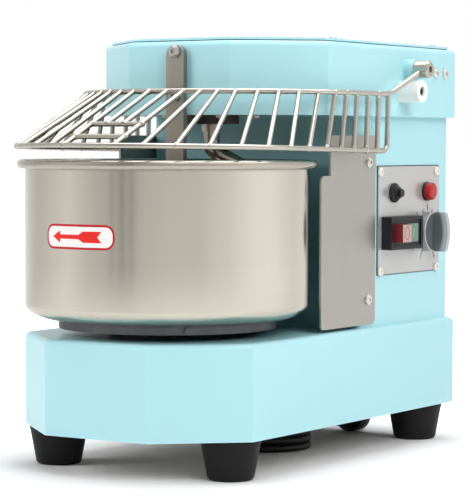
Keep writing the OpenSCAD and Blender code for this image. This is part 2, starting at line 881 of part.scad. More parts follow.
module spiral() {
    head = [for (i = [0:2]) [0, 0, spiral_neck_z - i * 5]];
    turns = [for (i = [1:spiral_steps]) spiral_point(i / spiral_steps)];
    path = concat(head, turns);
    last = len(path) - 1;
    radii = [for (i = [0:last]) i > last - 3 ? spiral_rod_r * (0.95 - 0.2 * (i - last + 3)) : spiral_rod_r + 0.6 * (1 - i / last)];
    // A fixed slanted direction that the path never runs along keeps the rings from twisting.
    refs = [for (i = [0:last]) let (d = along(path, i)) abs(d[2]) > 0.9 ? [0, 1, 0] : [0, 0, 1]];
    color(steel) translate([0, spiral_y, 0]) tube(path, radii, refs, 12);
}

module spiral_shaft() {
    collar_h = head_z0 - spiral_boss_h - 0.5 - spiral_neck_z;
    color(steel) translate([0, spiral_y, spiral_neck_z]) {
        cylinder(r = spiral_shaft_r, h = 60);
        cylinder(r = 9.5, h = collar_h);
    }
}

module spiral_pulley() {
    color("gray") pulley(spiral_y, top_belt_z - 2 - clear, spiral_pulley_r, pulley_h, spiral_shaft_r);
}

module counter_pulleys() {
    color("gray") {
        pulley(counter_y, top_belt_z - 2 - clear, spiral_drive_r, pulley_h, counter_r);
        pulley(counter_y, motor_belt_z - 2 - clear, counter_pulley_r, pulley_h, counter_r);
        pulley(counter_y, low_belt_z - 2 - clear, bowl_drive_r, pulley_h, counter_r);
    }
}

module bowl_pulley() {
    color("gray") pulley(bowl_y, low_belt_z - 2 - clear, bowl_pulley_r, pulley_h, bowl_shaft_r);
}

motor_z = 128;

module motor() {
    fins = 16;
    body_r = 50;
    body_h = 140;
    color([0.35, 0.38, 0.4]) translate([0, motor_y, motor_z]) difference() {
        union() {
            cylinder(r = body_r, h = body_h);
            cylinder(r = body_r + 5, h = 8);
            for (i = [0:fins - 1])
                rotate([0, 0, i * 360 / fins])
                    translate([body_r - 1, -1.5, 16]) cube([5, 3, 108]);
        }
        translate([0, 0, -1]) cylinder(r = motor_shaft_r + fit_gap, h = 36);
    }
}

module motor_plate() {
    plate_t = motor_z - base_z1;
    color("darkgray") difference() {
        translate([-112, 104, base_z1]) cube([224, 118, plate_t]);
        translate([0, motor_y, base_z1 - 1]) cylinder(r = 12, h = plate_t + 2);
    }
}

module motor_rotor() {
    color(steel) translate([0, motor_y, 76]) cylinder(r = motor_shaft_r, h = 82);
    color("gray") pulley(motor_y, motor_belt_z - 2 - clear, motor_pulley_r, pulley_h, motor_shaft_r - 1);
}

module drive_belts() {
    belt(bowl_y, bowl_pulley_r, counter_y, bowl_drive_r, low_belt_z, belt_h);
    belt(motor_y, motor_pulley_r, counter_y, counter_pulley_r, motor_belt_z, belt_h);
    belt(spiral_y, spiral_pulley_r, counter_y, spiral_drive_r, top_belt_z, belt_h);
}

// ---- Mains cord ----

cord_r = 3.5;
cord_sides = 8;
gland_l = 24;
coil_centre = [12, 62];
coil_mid_r = 35;
coil_wide = 14;
coil_high = 21;
// The lead hangs from the gland, turns under the base and runs forward to the coil.
lead_route = [[-85, 258.5, 150], [-85, 271, 148.5], [-85, 283, 143], [-85, 292, 133], [-85, 297, 118],
    [-85, 299, 100], [-85, 299, 82], [-85, 298, 64], [-85, 295, 47], [-84, 288, 31], [-83, 277, 18],
    [-81, 262, 9], [-78, 245, 5], [-74, 226, 3.6], [-69, 205, 3.6], [-62, 182, 3.6], [-54, 159, 3.6],
    [-45, 136, 3.6], [-36, 113, 3.6], [-29, 88, 3.6], [-26.5, 62, 3.6]];
// The tail leaves the coil's top lane at 45 degrees and bends gently round to the plug.
plug_turn = -7.6;
tail_bend = 98;
tail_heights = [17.4, 15.6, 13.8, 12.6, 12.2, 13, 15.2, 18];
tail_last = len(tail_heights) - 1;
tail_middle = coil_centre + (coil_mid_r + coil_wide / 2 - cord_r + tail_bend) * [cos(45), sin(45)];
tail_route = [for (i = [0:tail_last])
    let (heading = 135 - i / tail_last * (45 - plug_turn))
    [tail_middle[0] - tail_bend * sin(heading), tail_middle[1] + tail_bend * cos(heading), tail_heights[i]]];
plug_at = tail_route[tail_last];

module cord_gland() {
    flange_r = 11;
    color([0.08, 0.08, 0.08]) translate([gland_x, column_y1, gland_z]) rotate([-90, 0, 0]) difference() {
        union() {
            translate([0, 0, -6]) cylinder(r = 7.8, h = 7);
            cylinder(r = flange_r, h = 4);
            translate([0, 0, 4]) cylinder(r1 = 8, r2 = 5, h = gland_l - 4);
        }
        translate([0, 0, -7]) cylinder(r = 3, h = gland_l);
    }
}

module cord(route) {
    refs = [for (i = [0:len(route) - 1]) [1, 0.2, 0.1]];
    radii = [for (i = [0:len(route) - 1]) cord_r];
    color([0.07, 0.07, 0.07]) tube(route, radii, refs, cord_sides);
}

module cord_coil() {
    color([0.07, 0.07, 0.07]) translate([coil_centre[0], coil_centre[1], 0]) rotate_extrude()
        translate([coil_mid_r - coil_wide / 2, 0.1]) square([coil_wide, coil_high]);
}

// A round two-pin plug that lies on its side, one pin above the other.
module plug() {
    boot_l = 16;
    body_l = 40;
    body_r = 18;
    pin_gap = 9.5;
    pin_r = 2.4;
    pin_l = 19;
    color([0.07, 0.07, 0.07]) translate(plug_at) rotate([0, 0, plug_turn]) rotate([-90, 0, 0]) {
        cylinder(r1 = 5, r2 = 7, h = boot_l);
        translate([0, 0, boot_l]) cylinder(r1 = 9, r2 = body_r - 2, h = body_l * 0.55);
        translate([0, 0, boot_l + body_l * 0.55]) cylinder(r = body_r, h = body_l * 0.45);
        for (s = [-1, 1])
            translate([0, s * pin_gap, boot_l + body_l - 1]) cylinder(r = pin_r, h = pin_l + 1);
    }
}

base_shell();
base_floor();
foot(foot_places[0]);  // foot_front_left
foot(foot_places[1]);  // foot_front_right
foot(foot_places[2]);  // foot_rear_left
foot(foot_places[3]);  // foot_rear_right
foot_screws();
column_shell();
head_shell();
lid_gasket();
head_lid();
lid_screws();
divider_bar();
divider_bolts();
bowl_plate(1);  // bowl_plate_right
bowl_plate(-1);  // bowl_plate_left
m6_screws();
panel_seal();
control_plate();
panel_screws();
switch_housing();
push_button(stop_y, stop_proud);  // stop_button
push_button(start_y, start_proud);  // start_button
reset_nut();
reset_button();
lamp_bezel();
lamp_lens();
timer_knob();
timer_body();
guard_hoops();
guard_bars();
guard_collars();
pivot_shaft();
interlock_cam();
interlock_switch();
interlock_bracket();
head_side_screws();
buffer_bushes();
bush_screws();
bowl();
turntable();
bowl_shaft();
bowl_bearing();
bowl_pulley();
spiral();
spiral_shaft();
spiral_bearing();
spiral_pulley();
countershaft();
counter_pulleys();
counter_bearings();
motor();
motor_plate();
motor_rotor();
drive_belts();
cord_gland();
cord(lead_route);  // cord_lead
cord_coil();
cord(tail_route);  // cord_tail
plug();
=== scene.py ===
"""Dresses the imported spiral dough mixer: wires, spun bowl, controls, cord, finishes, studio."""

import json
from math import cos, inf, pi, radians, sin, tan

import bmesh
import bpy
from mathutils import Matrix, Vector


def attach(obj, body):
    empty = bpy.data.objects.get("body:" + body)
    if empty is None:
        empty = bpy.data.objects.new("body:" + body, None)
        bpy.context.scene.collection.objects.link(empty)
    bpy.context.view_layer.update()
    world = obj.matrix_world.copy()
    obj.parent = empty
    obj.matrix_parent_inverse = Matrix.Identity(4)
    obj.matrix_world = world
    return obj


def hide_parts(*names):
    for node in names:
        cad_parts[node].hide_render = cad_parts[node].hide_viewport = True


bl_info = {
    "name": "Spiral dough mixer",
    "version": (1, 0, 0),
    "blender": (4, 5, 0),
    "location": "View3D > Sidebar > Mixer",
    "description": "Adds the visible pieces and finishes of a countertop spiral dough mixer",
    "category": "Object",
}

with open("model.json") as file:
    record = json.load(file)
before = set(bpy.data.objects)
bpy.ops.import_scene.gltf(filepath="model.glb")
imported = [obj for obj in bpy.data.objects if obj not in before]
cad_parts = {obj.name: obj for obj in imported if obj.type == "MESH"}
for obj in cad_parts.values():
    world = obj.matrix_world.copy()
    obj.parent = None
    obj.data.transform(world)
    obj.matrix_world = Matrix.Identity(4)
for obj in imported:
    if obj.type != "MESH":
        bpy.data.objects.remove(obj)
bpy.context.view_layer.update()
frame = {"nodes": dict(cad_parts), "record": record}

MM = 0.001

# Places shared with the solids, in millimetres.
BOWL_Y = -95
SPIRAL_Y = -22
PIVOT = (133, 368.5)
PANEL_X = 119.8
COLUMN_BACK = 234.5
PLUG_TURN = 7.6
KNOB_LENGTH = 24
KNOB_ARCH = 60
TIMER = (187, 209.7)
LAMP = (184, 249.8)
RESET = (116.7, 249.4)
SWITCH = (125, 210.7)
STOP_Y = SWITCH[0] - 16.5
START_Y = SWITCH[0] + 11
SWITCH_FACE_X = PANEL_X + 11.2
STOP_PROUD = 8.5


# ---- settings ----


def length(name, description, default):
    """A length in metres that the panel shows."""
    return bpy.props.FloatProperty(
        name=name, description=description, default=default, unit="LENGTH")


def colour(name, description, default):
    """A colour that the panel shows."""
    return bpy.props.FloatVectorProperty(
        name=name, description=description, subtype="COLOR", size=3, default=default, min=0, max=1)


class MixerSizes(bpy.types.PropertyGroup):
    """Sizes of the visible pieces."""

    bowl_radius: length("Bowl radius", "Outer radius of the bowl's wall", 0.1308)
    bowl_sheet: length("Bowl sheet", "Thickness of the bowl's sheet", 0.0012)
    rim_roll: length("Rim roll", "Radius of the rolled rim's section", 0.0042)
    wire_diameter: length("Guard wire", "Diameter of the guard's hoops", 0.005)
    bar_diameter: length("Guard bars", "Diameter of the guard's bars", 0.0046)
    weld_bead: length("Weld bead", "Radius of the bead where a bar meets a hoop", 0.0029)
    cord_diameter: length("Cord", "Diameter of the mains cord", 0.007)
    knob_diameter: length("Timer knob", "Diameter of the timer knob's skirt", 0.039)


class MixerColours(bpy.types.PropertyGroup):
    """Colours of the finishes."""

    paint: colour("Paint", "Colour of the painted housing", (0.42, 0.74, 0.80))
    stainless: colour("Stainless", "Colour of the bowl's steel", (0.62, 0.58, 0.50))
    wire: colour("Guard wire", "Colour of the plated wire", (0.56, 0.53, 0.47))
    control_plate: colour("Control plate", "Colour of the control plate", (0.53, 0.525, 0.52))
    floor: colour("Floor", "Colour of the studio floor", (0.94, 0.94, 0.94))


# ---- modelling helpers ----


def put_down():
    """Leaves edit mode with nothing selected."""
    if bpy.context.mode != "OBJECT":
        bpy.ops.object.mode_set(mode="OBJECT")
    bpy.ops.object.select_all(action="DESELECT")


def take(piece):
    """Makes the piece the only one selected."""
    put_down()
    piece.select_set(True)
    bpy.context.view_layer.objects.active = piece
    return piece


def edit(piece, action="DESELECT"):
    """Opens the piece in edit mode with nothing selected in it, or everything."""
    take(piece)
    bpy.ops.object.mode_set(mode="EDIT")
    bpy.ops.mesh.select_all(action=action)


def pick(piece, kind, test):
    """Selects the faces or edges whose corners all pass the test."""
    bpy.ops.mesh.select_mode(type=kind)
    mesh = bmesh.from_edit_mesh(piece.data)
    for part in mesh.faces if kind == "FACE" else mesh.edges:
        part.select_set(all(test(corner.co) for corner in part.verts))
    bmesh.update_edit_mesh(piece.data)


def at(x, y, z):
    """A place given in millimetres."""
    return Vector((x, y, z)) * MM


def joined(parts):
    """Joins the parts into the first of them."""
    put_down()
    for part in parts:
        part.select_set(True)
    bpy.context.view_layer.objects.active = parts[0]
    bpy.ops.object.join()
    return parts[0]


def fixed():
    """Applies the place, turn and scale of what is selected."""
    bpy.ops.object.transform_apply(location=True, rotation=True, scale=True)


def modified(piece, kind, **settings):
    """Puts a modifier with the settings on the piece and applies it."""
    modifier = piece.modifiers.new("Form", kind)
    for name, value in settings.items():
        setattr(modifier, name, value)
    take(piece)
    bpy.ops.object.modifier_apply(modifier=modifier.name)


def settled(piece, name, body, slot, *nodes, look=None):
    """Names the piece, gives it the look or its slot's own, and ties it to its body."""
    take(piece)
    piece.name = piece.data.name = name
    fixed()
    piece.data.materials.clear()
    piece.data.materials.append(look or finishes()[slot])
    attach(piece, body)
    if nodes:
        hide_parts(*nodes)
    put_down()
    return piece


def smooth(piece, angle=40):
    """Smooths the piece across edges that bend less than the angle."""
    take(piece)
    bpy.ops.object.shade_smooth_by_angle(angle=radians(angle))


def outward(piece):
    """Merges doubles and turns every face outwards."""
    edit(piece, "SELECT")
    bpy.ops.mesh.remove_doubles(threshold=0.00001)
    bpy.ops.mesh.normals_make_consistent(inside=False)
    put_down()


def empty_curve(dimensions):
    """A curve object with no splines yet."""
    put_down()
    bpy.ops.curve.primitive_nurbs_path_add()
    curve = bpy.context.object
    curve.data.splines.clear()
    curve.data.dimensions = dimensions
    return curve


def add_line(curve, places):
    """Adds a spline of straight steps through the places."""
    spline = curve.data.splines.new("POLY")
    spline.points.add(len(places) - 1)
    for point, place in zip(spline.points, places):
        point.co = (*place, 1)
    return spline


def as_mesh():
    """Turns the active curve or text into a mesh."""
    bpy.ops.object.convert(target="MESH")
    return bpy.context.object


def wires(paths, radius, sides=4, radii=None):
    """Round wires along several paths, as one mesh; radii scale the radius point by point."""
    curve = empty_curve("3D")
    for path in paths:
        spline = add_line(curve, path)
        for point, scale in zip(spline.points, radii or [1] * len(path)):
            point.radius = scale
        spline.use_smooth = True
    curve.data.bevel_depth = radius
    curve.data.bevel_resolution = sides
    curve.data.use_fill_caps = True
    piece = as_mesh()
    outward(piece)
    smooth(piece, 50)
    return piece


def turned(profile, sides=48):
    """A turned piece along +Z from (radius, height) pairs in millimetres: a ring is extruded on."""
    put_down()
    radius, height = profile[0]
    bpy.ops.mesh.primitive_circle_add(
        vertices=sides, radius=radius * MM, location=(0, 0, height * MM))
    piece = bpy.context.object
    bpy.ops.object.transform_apply(location=True, rotation=False, scale=False)
    edit(piece, "SELECT")
    bpy.ops.mesh.edge_face_add()
    bpy.ops.mesh.select_all(action="SELECT")
    bpy.ops.mesh.select_mode(type="EDGE")
    for next_radius, next_height in profile[1:]:
        bpy.ops.mesh.extrude_region_move(
            TRANSFORM_OT_translate={"value": (0, 0, (next_height - height) * MM)})
        scale = next_radius / radius
        bpy.ops.transform.resize(value=(scale, scale, 1), center_override=(0, 0, next_height * MM))
        radius, height = next_radius, next_height
    put_down()
    return piece


def ring(lowest=-inf, highest=inf, widest=inf):
    """A test for corners between two heights and within a radius, in millimetres."""
    return lambda co: lowest * MM < co.z < highest * MM and co.xy.length < widest * MM


def closed(piece, test, angle=40):
    """Closes the open ring whose corners pass the test, and smooths the piece."""
    edit(piece)
    pick(piece, "EDGE", test)
    bpy.ops.mesh.edge_face_add()
    outward(piece)
    smooth(piece, angle)
    return piece


def stand(piece, place, direction):
    """Turns a piece made along +Z to point the given way from the given place."""
    turn = Vector(direction).to_track_quat("Z", "Y").to_matrix().to_4x4()
    piece.matrix_world = Matrix.Translation(Vector(place)) @ turn @ piece.matrix_world
    take(piece)
    fixed()
    return piece


def flat_shape(loops):
    """A flat sheet in the XY plane from closed loops in millimetres; inner loops cut holes."""
    curve = empty_curve("2D")
    curve.data.fill_mode = "BOTH"
    for loop in loops:
        add_line(curve, [(u * MM, v * MM, 0) for u, v in loop]).use_cyclic_u = True
    piece = as_mesh()
    outward(piece)
    return piece


def sliced(piece, step, low, high):
    """Cuts a flat sheet across X at even steps, so that it can bend."""
    edit(piece)
    place = low
    while place < high:
        bpy.ops.mesh.select_all(action="SELECT")
        bpy.ops.mesh.bisect(plane_co=(place * MM, 0, 0), plane_no=(1, 0, 0))
        place += step
    put_down()


def rounded_box_loop(width, height, corner, steps=8):
    """Points of a rectangle with round corners about the origin."""
    points = []
    for quarter, (sx, sy) in enumerate(((1, 1), (-1, 1), (-1, -1), (1, -1))):
        cx, cy = sx * (width / 2 - corner), sy * (height / 2 - corner)
        for i in range(steps + 1):
            a = radians(90 * quarter + 90 * i / steps)
            points.append((cx + corner * cos(a), cy + corner * sin(a)))
    return points


def oval_loop(width, height):
    """Points of an oval with the given half width and half height."""
    return [(width * cos(2 * pi * i / 48), height * sin(2 * pi * i / 48)) for i in range(48)]


# ---- finishes ----


class Wiring:
    """Adds nodes to a shader tree. An input given a socket is linked, any other value is set."""

    def __init__(self, tree):
        self.tree = tree

    def feed(self, node, inputs):
        for name, value in inputs.items():
            if isinstance(value, bpy.types.NodeSocket):
                self.tree.links.new(value, node.inputs[name])
            else:
                node.inputs[name].default_value = value
        return node

    def node(self, kind, inputs=None, **settings):
        node = self.tree.nodes.new("ShaderNode" + kind)
        for name, value in settings.items():
            setattr(node, name, value)
        return self.feed(node, inputs or {})

    def group(self, group, inputs=None):
        return self.node("Group", inputs, node_tree=group).outputs

    def place(self, kind="Object"):
        return self.node("TexCoord").outputs[kind]

    def math(self, operation, *values):
        return self.node("Math", dict(enumerate(values)), operation=operation).outputs[0]

    def vector(self, operation, *values):
        outputs = self.node("VectorMath", dict(enumerate(values)), operation=operation).outputs
        return outputs["Value" if operation in ("LENGTH", "DOT_PRODUCT") else "Vector"]

    def split(self, vector):
        return self.node("SeparateXYZ", {0: vector}).outputs

    def combined(self, x, y, z):
        return self.node("CombineXYZ", {"X": x, "Y": y, "Z": z}).outputs[0]

    def ranged(self, value, low, high, to_low=0.0, to_high=1.0, **settings):
        inputs = {"Value": value, "From Min": low, "From Max": high,
                  "To Min": to_low, "To Max": to_high}
        return self.node("MapRange", inputs, **settings).outputs["Result"]

    def noise(self, place, scale, detail=2.0):
        inputs = {"Vector": place, "Scale": scale, "Detail": detail}
        return self.node("TexNoise", inputs).outputs["Fac"]

    def mix(self, factor, first, second):
        inputs = {"Factor": factor, 6: first, 7: second}
        return self.node("Mix", inputs, data_type="RGBA").outputs[2]

    def bump(self, height, strength, distance):
        inputs = {"Strength": strength, "Distance": distance, "Height": height}
        return self.node("Bump", inputs).outputs["Normal"]

    def shaders(self, factor, first, second):
        return self.node("MixShader", {"Fac": factor, 1: first, 2: second}).outputs[0]


def new_group(name, inputs, outputs):
    """An empty node group; a default's form says if its socket is a number, vector or colour."""
    group = bpy.data.node_groups.new(name, "ShaderNodeTree")
    for socket, default in inputs.items():
        kind = "Float" if isinstance(default, float) else "Vector" if len(default) == 3 else "Color"
        made = group.interface.new_socket(socket, in_out="INPUT", socket_type="NodeSocket" + kind)
        made.default_value = default
    for socket, kind in outputs.items():
        group.interface.new_socket(socket, in_out="OUTPUT", socket_type="NodeSocket" + kind)
    given = group.nodes.new("NodeGroupInput").outputs
    return group, Wiring(group), given, group.nodes.new("NodeGroupOutput")


def uneven_group():
    """Slow change of colour and gloss over a surface, with a fine grain."""
    if made := bpy.data.node_groups.get("Uneven finish"):
        return made
    group, add, given, result = new_group(
        "Uneven finish",
        {"Colour": (0.5, 0.5, 0.5, 1), "Second colour": (0.4, 0.4, 0.4, 1), "Stretch": (1, 1, 1),
         "Patch scale": 6.0, "Grain scale": 400.0, "Least roughness": 0.3, "Most roughness": 0.4},
        {"Colour": "Color", "Roughness": "Float", "Grain": "Float"})
    place = add.vector("MULTIPLY", add.place(), given["Stretch"])
    patch = add.ranged(add.noise(place, given["Patch scale"], 4), 0.3, 0.7)
    grain = add.noise(place, given["Grain scale"], 3)
    patch_share = 0.55
    fine = add.math("MULTIPLY", grain, 1 - patch_share)
    both = add.math("MULTIPLY_ADD", patch, patch_share, fine)
    add.feed(result, {
        "Colour": add.mix(both, given["Colour"], given["Second colour"]),
        "Roughness": add.ranged(both, 0, 1, given["Least roughness"], given["Most roughness"]),
        "Grain": grain})
    return group


def edge_shading_group():
    """Edges for painted highlights, painted shade and wear: a mask that is 1 on convex edges."""
    if made := bpy.data.node_groups.get("Edge shading and wear"):
        return made
    group, add, given, result = new_group(
        "Edge shading and wear", {"Width": 0.002, "Breakup scale": 60.0}, {"Mask": "Float"})
    bevel = add.node("Bevel", {"Radius": given["Width"]}, samples=4).outputs["Normal"]
    bend = add.vector("DOT_PRODUCT", bevel, add.node("NewGeometry").outputs["Normal"])
    broken = add.noise(add.place(), given["Breakup scale"])
    add.feed(result, {"Mask": add.math("MULTIPLY", add.ranged(bend, 0.995, 0.90), broken)})
    return group


def spun_rings_and_painted_bands_group():
    """Fine rings of a sheet polished on an upright spindle at the axis, and soft upright bands of
    painted reflection.
    """
    if made := bpy.data.node_groups.get("Spun rings and painted reflection bands"):
        return made
    group, add, given, result = new_group(
        "Spun rings and painted reflection bands", {"Axis": (0, BOWL_Y * MM, 0), "Ring scale": 900.0},
        {"Rings": "Float", "Painted reflection bands": "Float"})
    x, y, z = add.split(add.vector("SUBTRACT", add.place(), given["Axis"]))
    angle = add.math("ARCTAN2", y, x)
    reach = add.vector("LENGTH", add.combined(x, y, 0))
    around = add.combined(add.math("MULTIPLY", angle, 0.02), reach, z)
    # The bands change round the axis and up the wall: a painted reflection of the studio.
    lane = add.combined(add.math("MULTIPLY", angle, 1.6), 0, z)
    add.feed(result, {"Rings": add.noise(around, given["Ring scale"], 4),
                      "Painted reflection bands": add.noise(lane, 3)})
    return group


def made_material(name):
    """A new material, the wiring of its nodes and its shader."""
    material = bpy.data.materials.new(name)
    material.use_nodes = True
    return material, Wiring(material.node_tree), material.node_tree.nodes["Principled BSDF"]


def darker(colour, factor):
    return tuple(c * factor for c in colour)


def finish(name, first, second, roughness, metallic=0.0, patch=60.0, grain=900.0, stretch=(1, 1, 1),
           bump=0.05, bump_depth=0.0002, coat=0.0, coat_roughness=0.1, edge_shading_and_wear=None, edge_shading_and_wear_width=0.002,
           subsurface=0.0, specular=0.5):
    """A material with the uneven finish, its grain as a bump and an optional edge colour: a painted
    highlight, painted shade or wear.
    """
    if name in bpy.data.materials:
        return bpy.data.materials[name]
    material, add, shader = made_material(name)
    uneven = add.group(uneven_group(), {
        "Colour": (*first, 1), "Second colour": (*second, 1), "Stretch": stretch,
        "Patch scale": patch, "Grain scale": grain, "Least roughness": roughness[0],
        "Most roughness": roughness[1]})
    shade = uneven["Colour"]
    # Each finish gives its own edge colour: a painted highlight, painted shade or wear.
    if edge_shading_and_wear is not None:
        edge_shading_and_wear_mask = add.group(edge_shading_group(), {"Width": edge_shading_and_wear_width})
        shade = add.mix(edge_shading_and_wear_mask["Mask"], shade, (*edge_shading_and_wear, 1))
    add.feed(shader, {
        "Base Color": shade, "Roughness": uneven["Roughness"],
        "Normal": add.bump(uneven["Grain"], bump, bump_depth),
        "Metallic": metallic, "Coat Weight": coat, "Coat Roughness": coat_roughness,
        "Subsurface Weight": subsurface, "Subsurface Scale": 0.003, "Specular IOR Level": specular})
    return material


def spun_steel():
    """Stainless sheet spun on a spindle: fine rings, soft bands of painted reflection, and a rim in
    painted shade.
    """
    if made := bpy.data.materials.get("Spun stainless"):
        return made
    steel = bpy.context.scene.mixer_colours.stainless
    material, add, shader = made_material("Spun stainless")
    spun = add.group(spun_rings_and_painted_bands_group())
    # The soft bands darken the steel's colour: a painted reflection.
    painted_band_tone = add.mix(spun["Painted reflection bands"], (*steel, 1), (*darker(steel, 0.9), 1))
    # The rolled rim and the top of the wall are painted darker than the rest: painted shade.
    rim = add.ranged(add.split(add.place())["Z"], 272 * MM, 274 * MM)
    add.feed(shader, {
        "Base Color": add.mix(rim, painted_band_tone, (*darker(steel, 0.74), 1)),
        "Roughness": add.ranged(spun["Rings"], 0, 1, 0.15, 0.24),
        "Normal": add.bump(spun["Rings"], 0.06, 0.0001),
        "Metallic": 1.0,
        # The rings run round the bowl, so highlights stretch up and down.
        "Anisotropic": 0.78, "Anisotropic Rotation": 0.25})
    return material


def knob_plastic():
    """Smoky plastic: grey wall, a painted highlight on the lip, dark core and an outer end painted
    lighter as light through its clear plastic.
    """
    if made := bpy.data.materials.get("Smoky plastic"):
        return made
    material, add, shader = made_material("Smoky plastic")
    place = add.place()

    def distance(centre, keep):
        """Distance from a line through the centre; keep drops the line's own axis."""
        away = add.vector("SUBTRACT", place, centre)
        return add.vector("LENGTH", add.vector("MULTIPLY", away, keep))

    def between(value, low, high):
        return add.ranged(value, low * MM, high * MM)

    height = distance(at(PANEL_X, 0, 0), (1, 0, 0))
    around = distance(at(0, *TIMER), (0, 1, 1))
    from_arch = distance(at(PANEL_X + KNOB_LENGTH - KNOB_ARCH, 0, TIMER[1]), (1, 0, 1))
    # A bright ring round the skirt's lip: a painted highlight.
    painted_lip_highlight = add.math("MULTIPLY", between(around, 18.0, 19.4), between(height, 9.2, 8.8))
    painted_lip_highlight = add.math("MULTIPLY", painted_lip_highlight, between(height, 7.0, 7.3))
    shade = add.mix(between(height, 6.9, 7.2), (0.30, 0.32, 0.33, 1), (0.105, 0.116, 0.128, 1))
    shade = add.mix(painted_lip_highlight, shade, (0.58, 0.60, 0.61, 1))
    # The outer end is clear plastic; its lighter grey is painted light coming through it.
    shade = add.mix(between(from_arch, 53.4, 57.0), shade, (0.42, 0.44, 0.44, 1))
    add.feed(shader, {
        "Base Color": shade, "Roughness": add.ranged(add.noise(place, 350), 0, 1, 0.14, 0.24),
        "Coat Weight": 0.3, "Coat Roughness": 0.08})
    return material


def finishes():
    """Every finish of the mixer, by the record's slot name."""
    colours = bpy.context.scene.mixer_colours
    return {
        # The paint's edges are a paler turquoise: a painted highlight.
        "paint": finish(
            "Turquoise paint", colours.paint, darker(colours.paint, 0.97), (0.26, 0.34), patch=5,
            bump=0.08, bump_depth=0.0001, coat=0.15, coat_roughness=0.12, edge_shading_and_wear=(0.58, 0.87, 0.92),
            edge_shading_and_wear_width=0.0022, specular=0.4),
        "zinc": finish(
            "Zinc plate", (0.62, 0.61, 0.58), (0.48, 0.47, 0.45), (0.28, 0.42), 1.0, patch=40,
            grain=700),
        "rubber": finish(
            "Foot rubber", (0.007, 0.006, 0.007), (0.012, 0.011, 0.011), (0.45, 0.62), patch=30,
            grain=1500, bump=0.25, specular=0.2),
        # The seals are dark teal, the colour of shade on the paint: painted shade in the gaps they
        # fill.
        "gasket": finish("Seal in painted shade", (0.012, 0.035, 0.04), (0.02, 0.05, 0.055), (0.5, 0.7), patch=40),
        "stainless": spun_steel(),
        "plate": finish(
            "Satin sheet", (0.445, 0.425, 0.39), (0.41, 0.39, 0.36), (0.32, 0.42), 0.85, patch=30,
            grain=1400, stretch=(1, 1, 0.06)),
        # The plate's edges are dark teal: painted shade round its outline.
        "panel": finish(
            "Control plate lacquer", colours.control_plate, darker(colours.control_plate, 0.96),
            (0.22, 0.28), 0.5, patch=14, grain=1100, bump=0.04, coat=0.2, edge_shading_and_wear=(0.02, 0.05, 0.055),
            edge_shading_and_wear_width=0.0009),
        # The heads' edges are dark: painted shade round each head.
        "screw_caps": finish(
            "Pale screw head", (0.84, 0.81, 0.73), (0.74, 0.71, 0.63), (0.25, 0.4), 0.3, patch=80,
            edge_shading_and_wear=(0.22, 0.20, 0.17), edge_shading_and_wear_width=0.0005),
        "black_plastic": finish(
            "Black plastic", (0.006, 0.006, 0.007), (0.012, 0.012, 0.013), (0.38, 0.52), patch=40,
            grain=1800, bump=0.15, edge_shading_and_wear=(0.05, 0.05, 0.05), edge_shading_and_wear_width=0.0007, specular=0.35),
        "stop_red": finish(
            "Red button plastic", (0.20, 0.018, 0.022), (0.17, 0.015, 0.018), (0.26, 0.36),
            grain=1200, coat=0.2, specular=0.3),
        "start_green": finish(
            "Green button plastic", (0.135, 0.24, 0.18), (0.12, 0.21, 0.16), (0.26, 0.36),
            grain=1200, coat=0.2, specular=0.3),
        "lamp_red": finish(
            "Red lamp plastic", (0.44, 0.005, 0.008), (0.35, 0.004, 0.006), (0.12, 0.20),
            coat=0.25, coat_roughness=0.06, subsurface=0.1, specular=0.3),
        "knob": knob_plastic(),
        "wire": finish(
            "Bright nickel wire", colours.wire, darker(colours.wire, 0.86), (0.20, 0.30), 1.0,
            patch=45, grain=700, bump=0.08),
        "white_nylon": finish(
            "White nylon", (0.97, 0.96, 0.92), (0.94, 0.93, 0.89), (0.35, 0.45), patch=50,
            subsurface=0.2),
        "cast": finish(
            "Cast iron", (0.16, 0.16, 0.165), (0.10, 0.10, 0.10), (0.45, 0.65), 0.8, patch=50,
            grain=500, bump=0.2),
        "bearing_brown": finish(
            "Brown primer", (0.055, 0.036, 0.028), (0.080, 0.056, 0.045), (0.40, 0.55), grain=500,
            bump=0.2),
        "motor_grey": finish(
            "Grey enamel", (0.10, 0.115, 0.125), (0.08, 0.095, 0.105), (0.35, 0.5), patch=30,
            grain=600),
        "belt": finish(
            "Belt rubber", (0.015, 0.015, 0.015), (0.03, 0.03, 0.03), (0.6, 0.75), grain=700),
        "cord": finish(
            "Cord sheath", (0.006, 0.006, 0.006), (0.012, 0.011, 0.011), (0.40, 0.55), grain=1800,
            bump=0.2, specular=0.35),
    }


# ---- pieces ----


class MIXER_OT_nodes(bpy.types.Operator):
    """Gives every solid of the mixer its finish"""

    bl_idname = "mixer.finish_solids"
    bl_label = "Finish the solids"

    def execute(self, context):
        slots = {part["node"]: part["material_slot"] for part in frame["record"]["subparts"]}
        looks = finishes()
        steel = finish("Drawn steel bar", (0.52, 0.475, 0.41), (0.36, 0.33, 0.29), (0.26, 0.38), 1.0,
                       patch=40, grain=1500, stretch=(1, 1, 0.03))
        sunk = finish("Sunken screw", (0.10, 0.095, 0.085), (0.06, 0.055, 0.05), (0.3, 0.45), 0.9,
                      patch=90)
        bright = finish("Bright screw", (0.78, 0.75, 0.69), (0.66, 0.63, 0.57), (0.22, 0.34), 0.8,
                        patch=90)
        special = {"m6_screws": bright, "head_side_screws": bright, "divider_bar": steel,
                   "spiral_shaft": steel, "bush_screws": sunk}
        for name, node in frame["nodes"].items():
            node.data.materials.clear()
            node.data.materials.append(special.get(name) or looks[slots[name]])
        return {"FINISHED"}


GLAND = (-85, COLUMN_BACK, 150)
GLAND_LENGTH = 24
COIL_CENTRE = (12, 62)
TAIL_BEND = 98


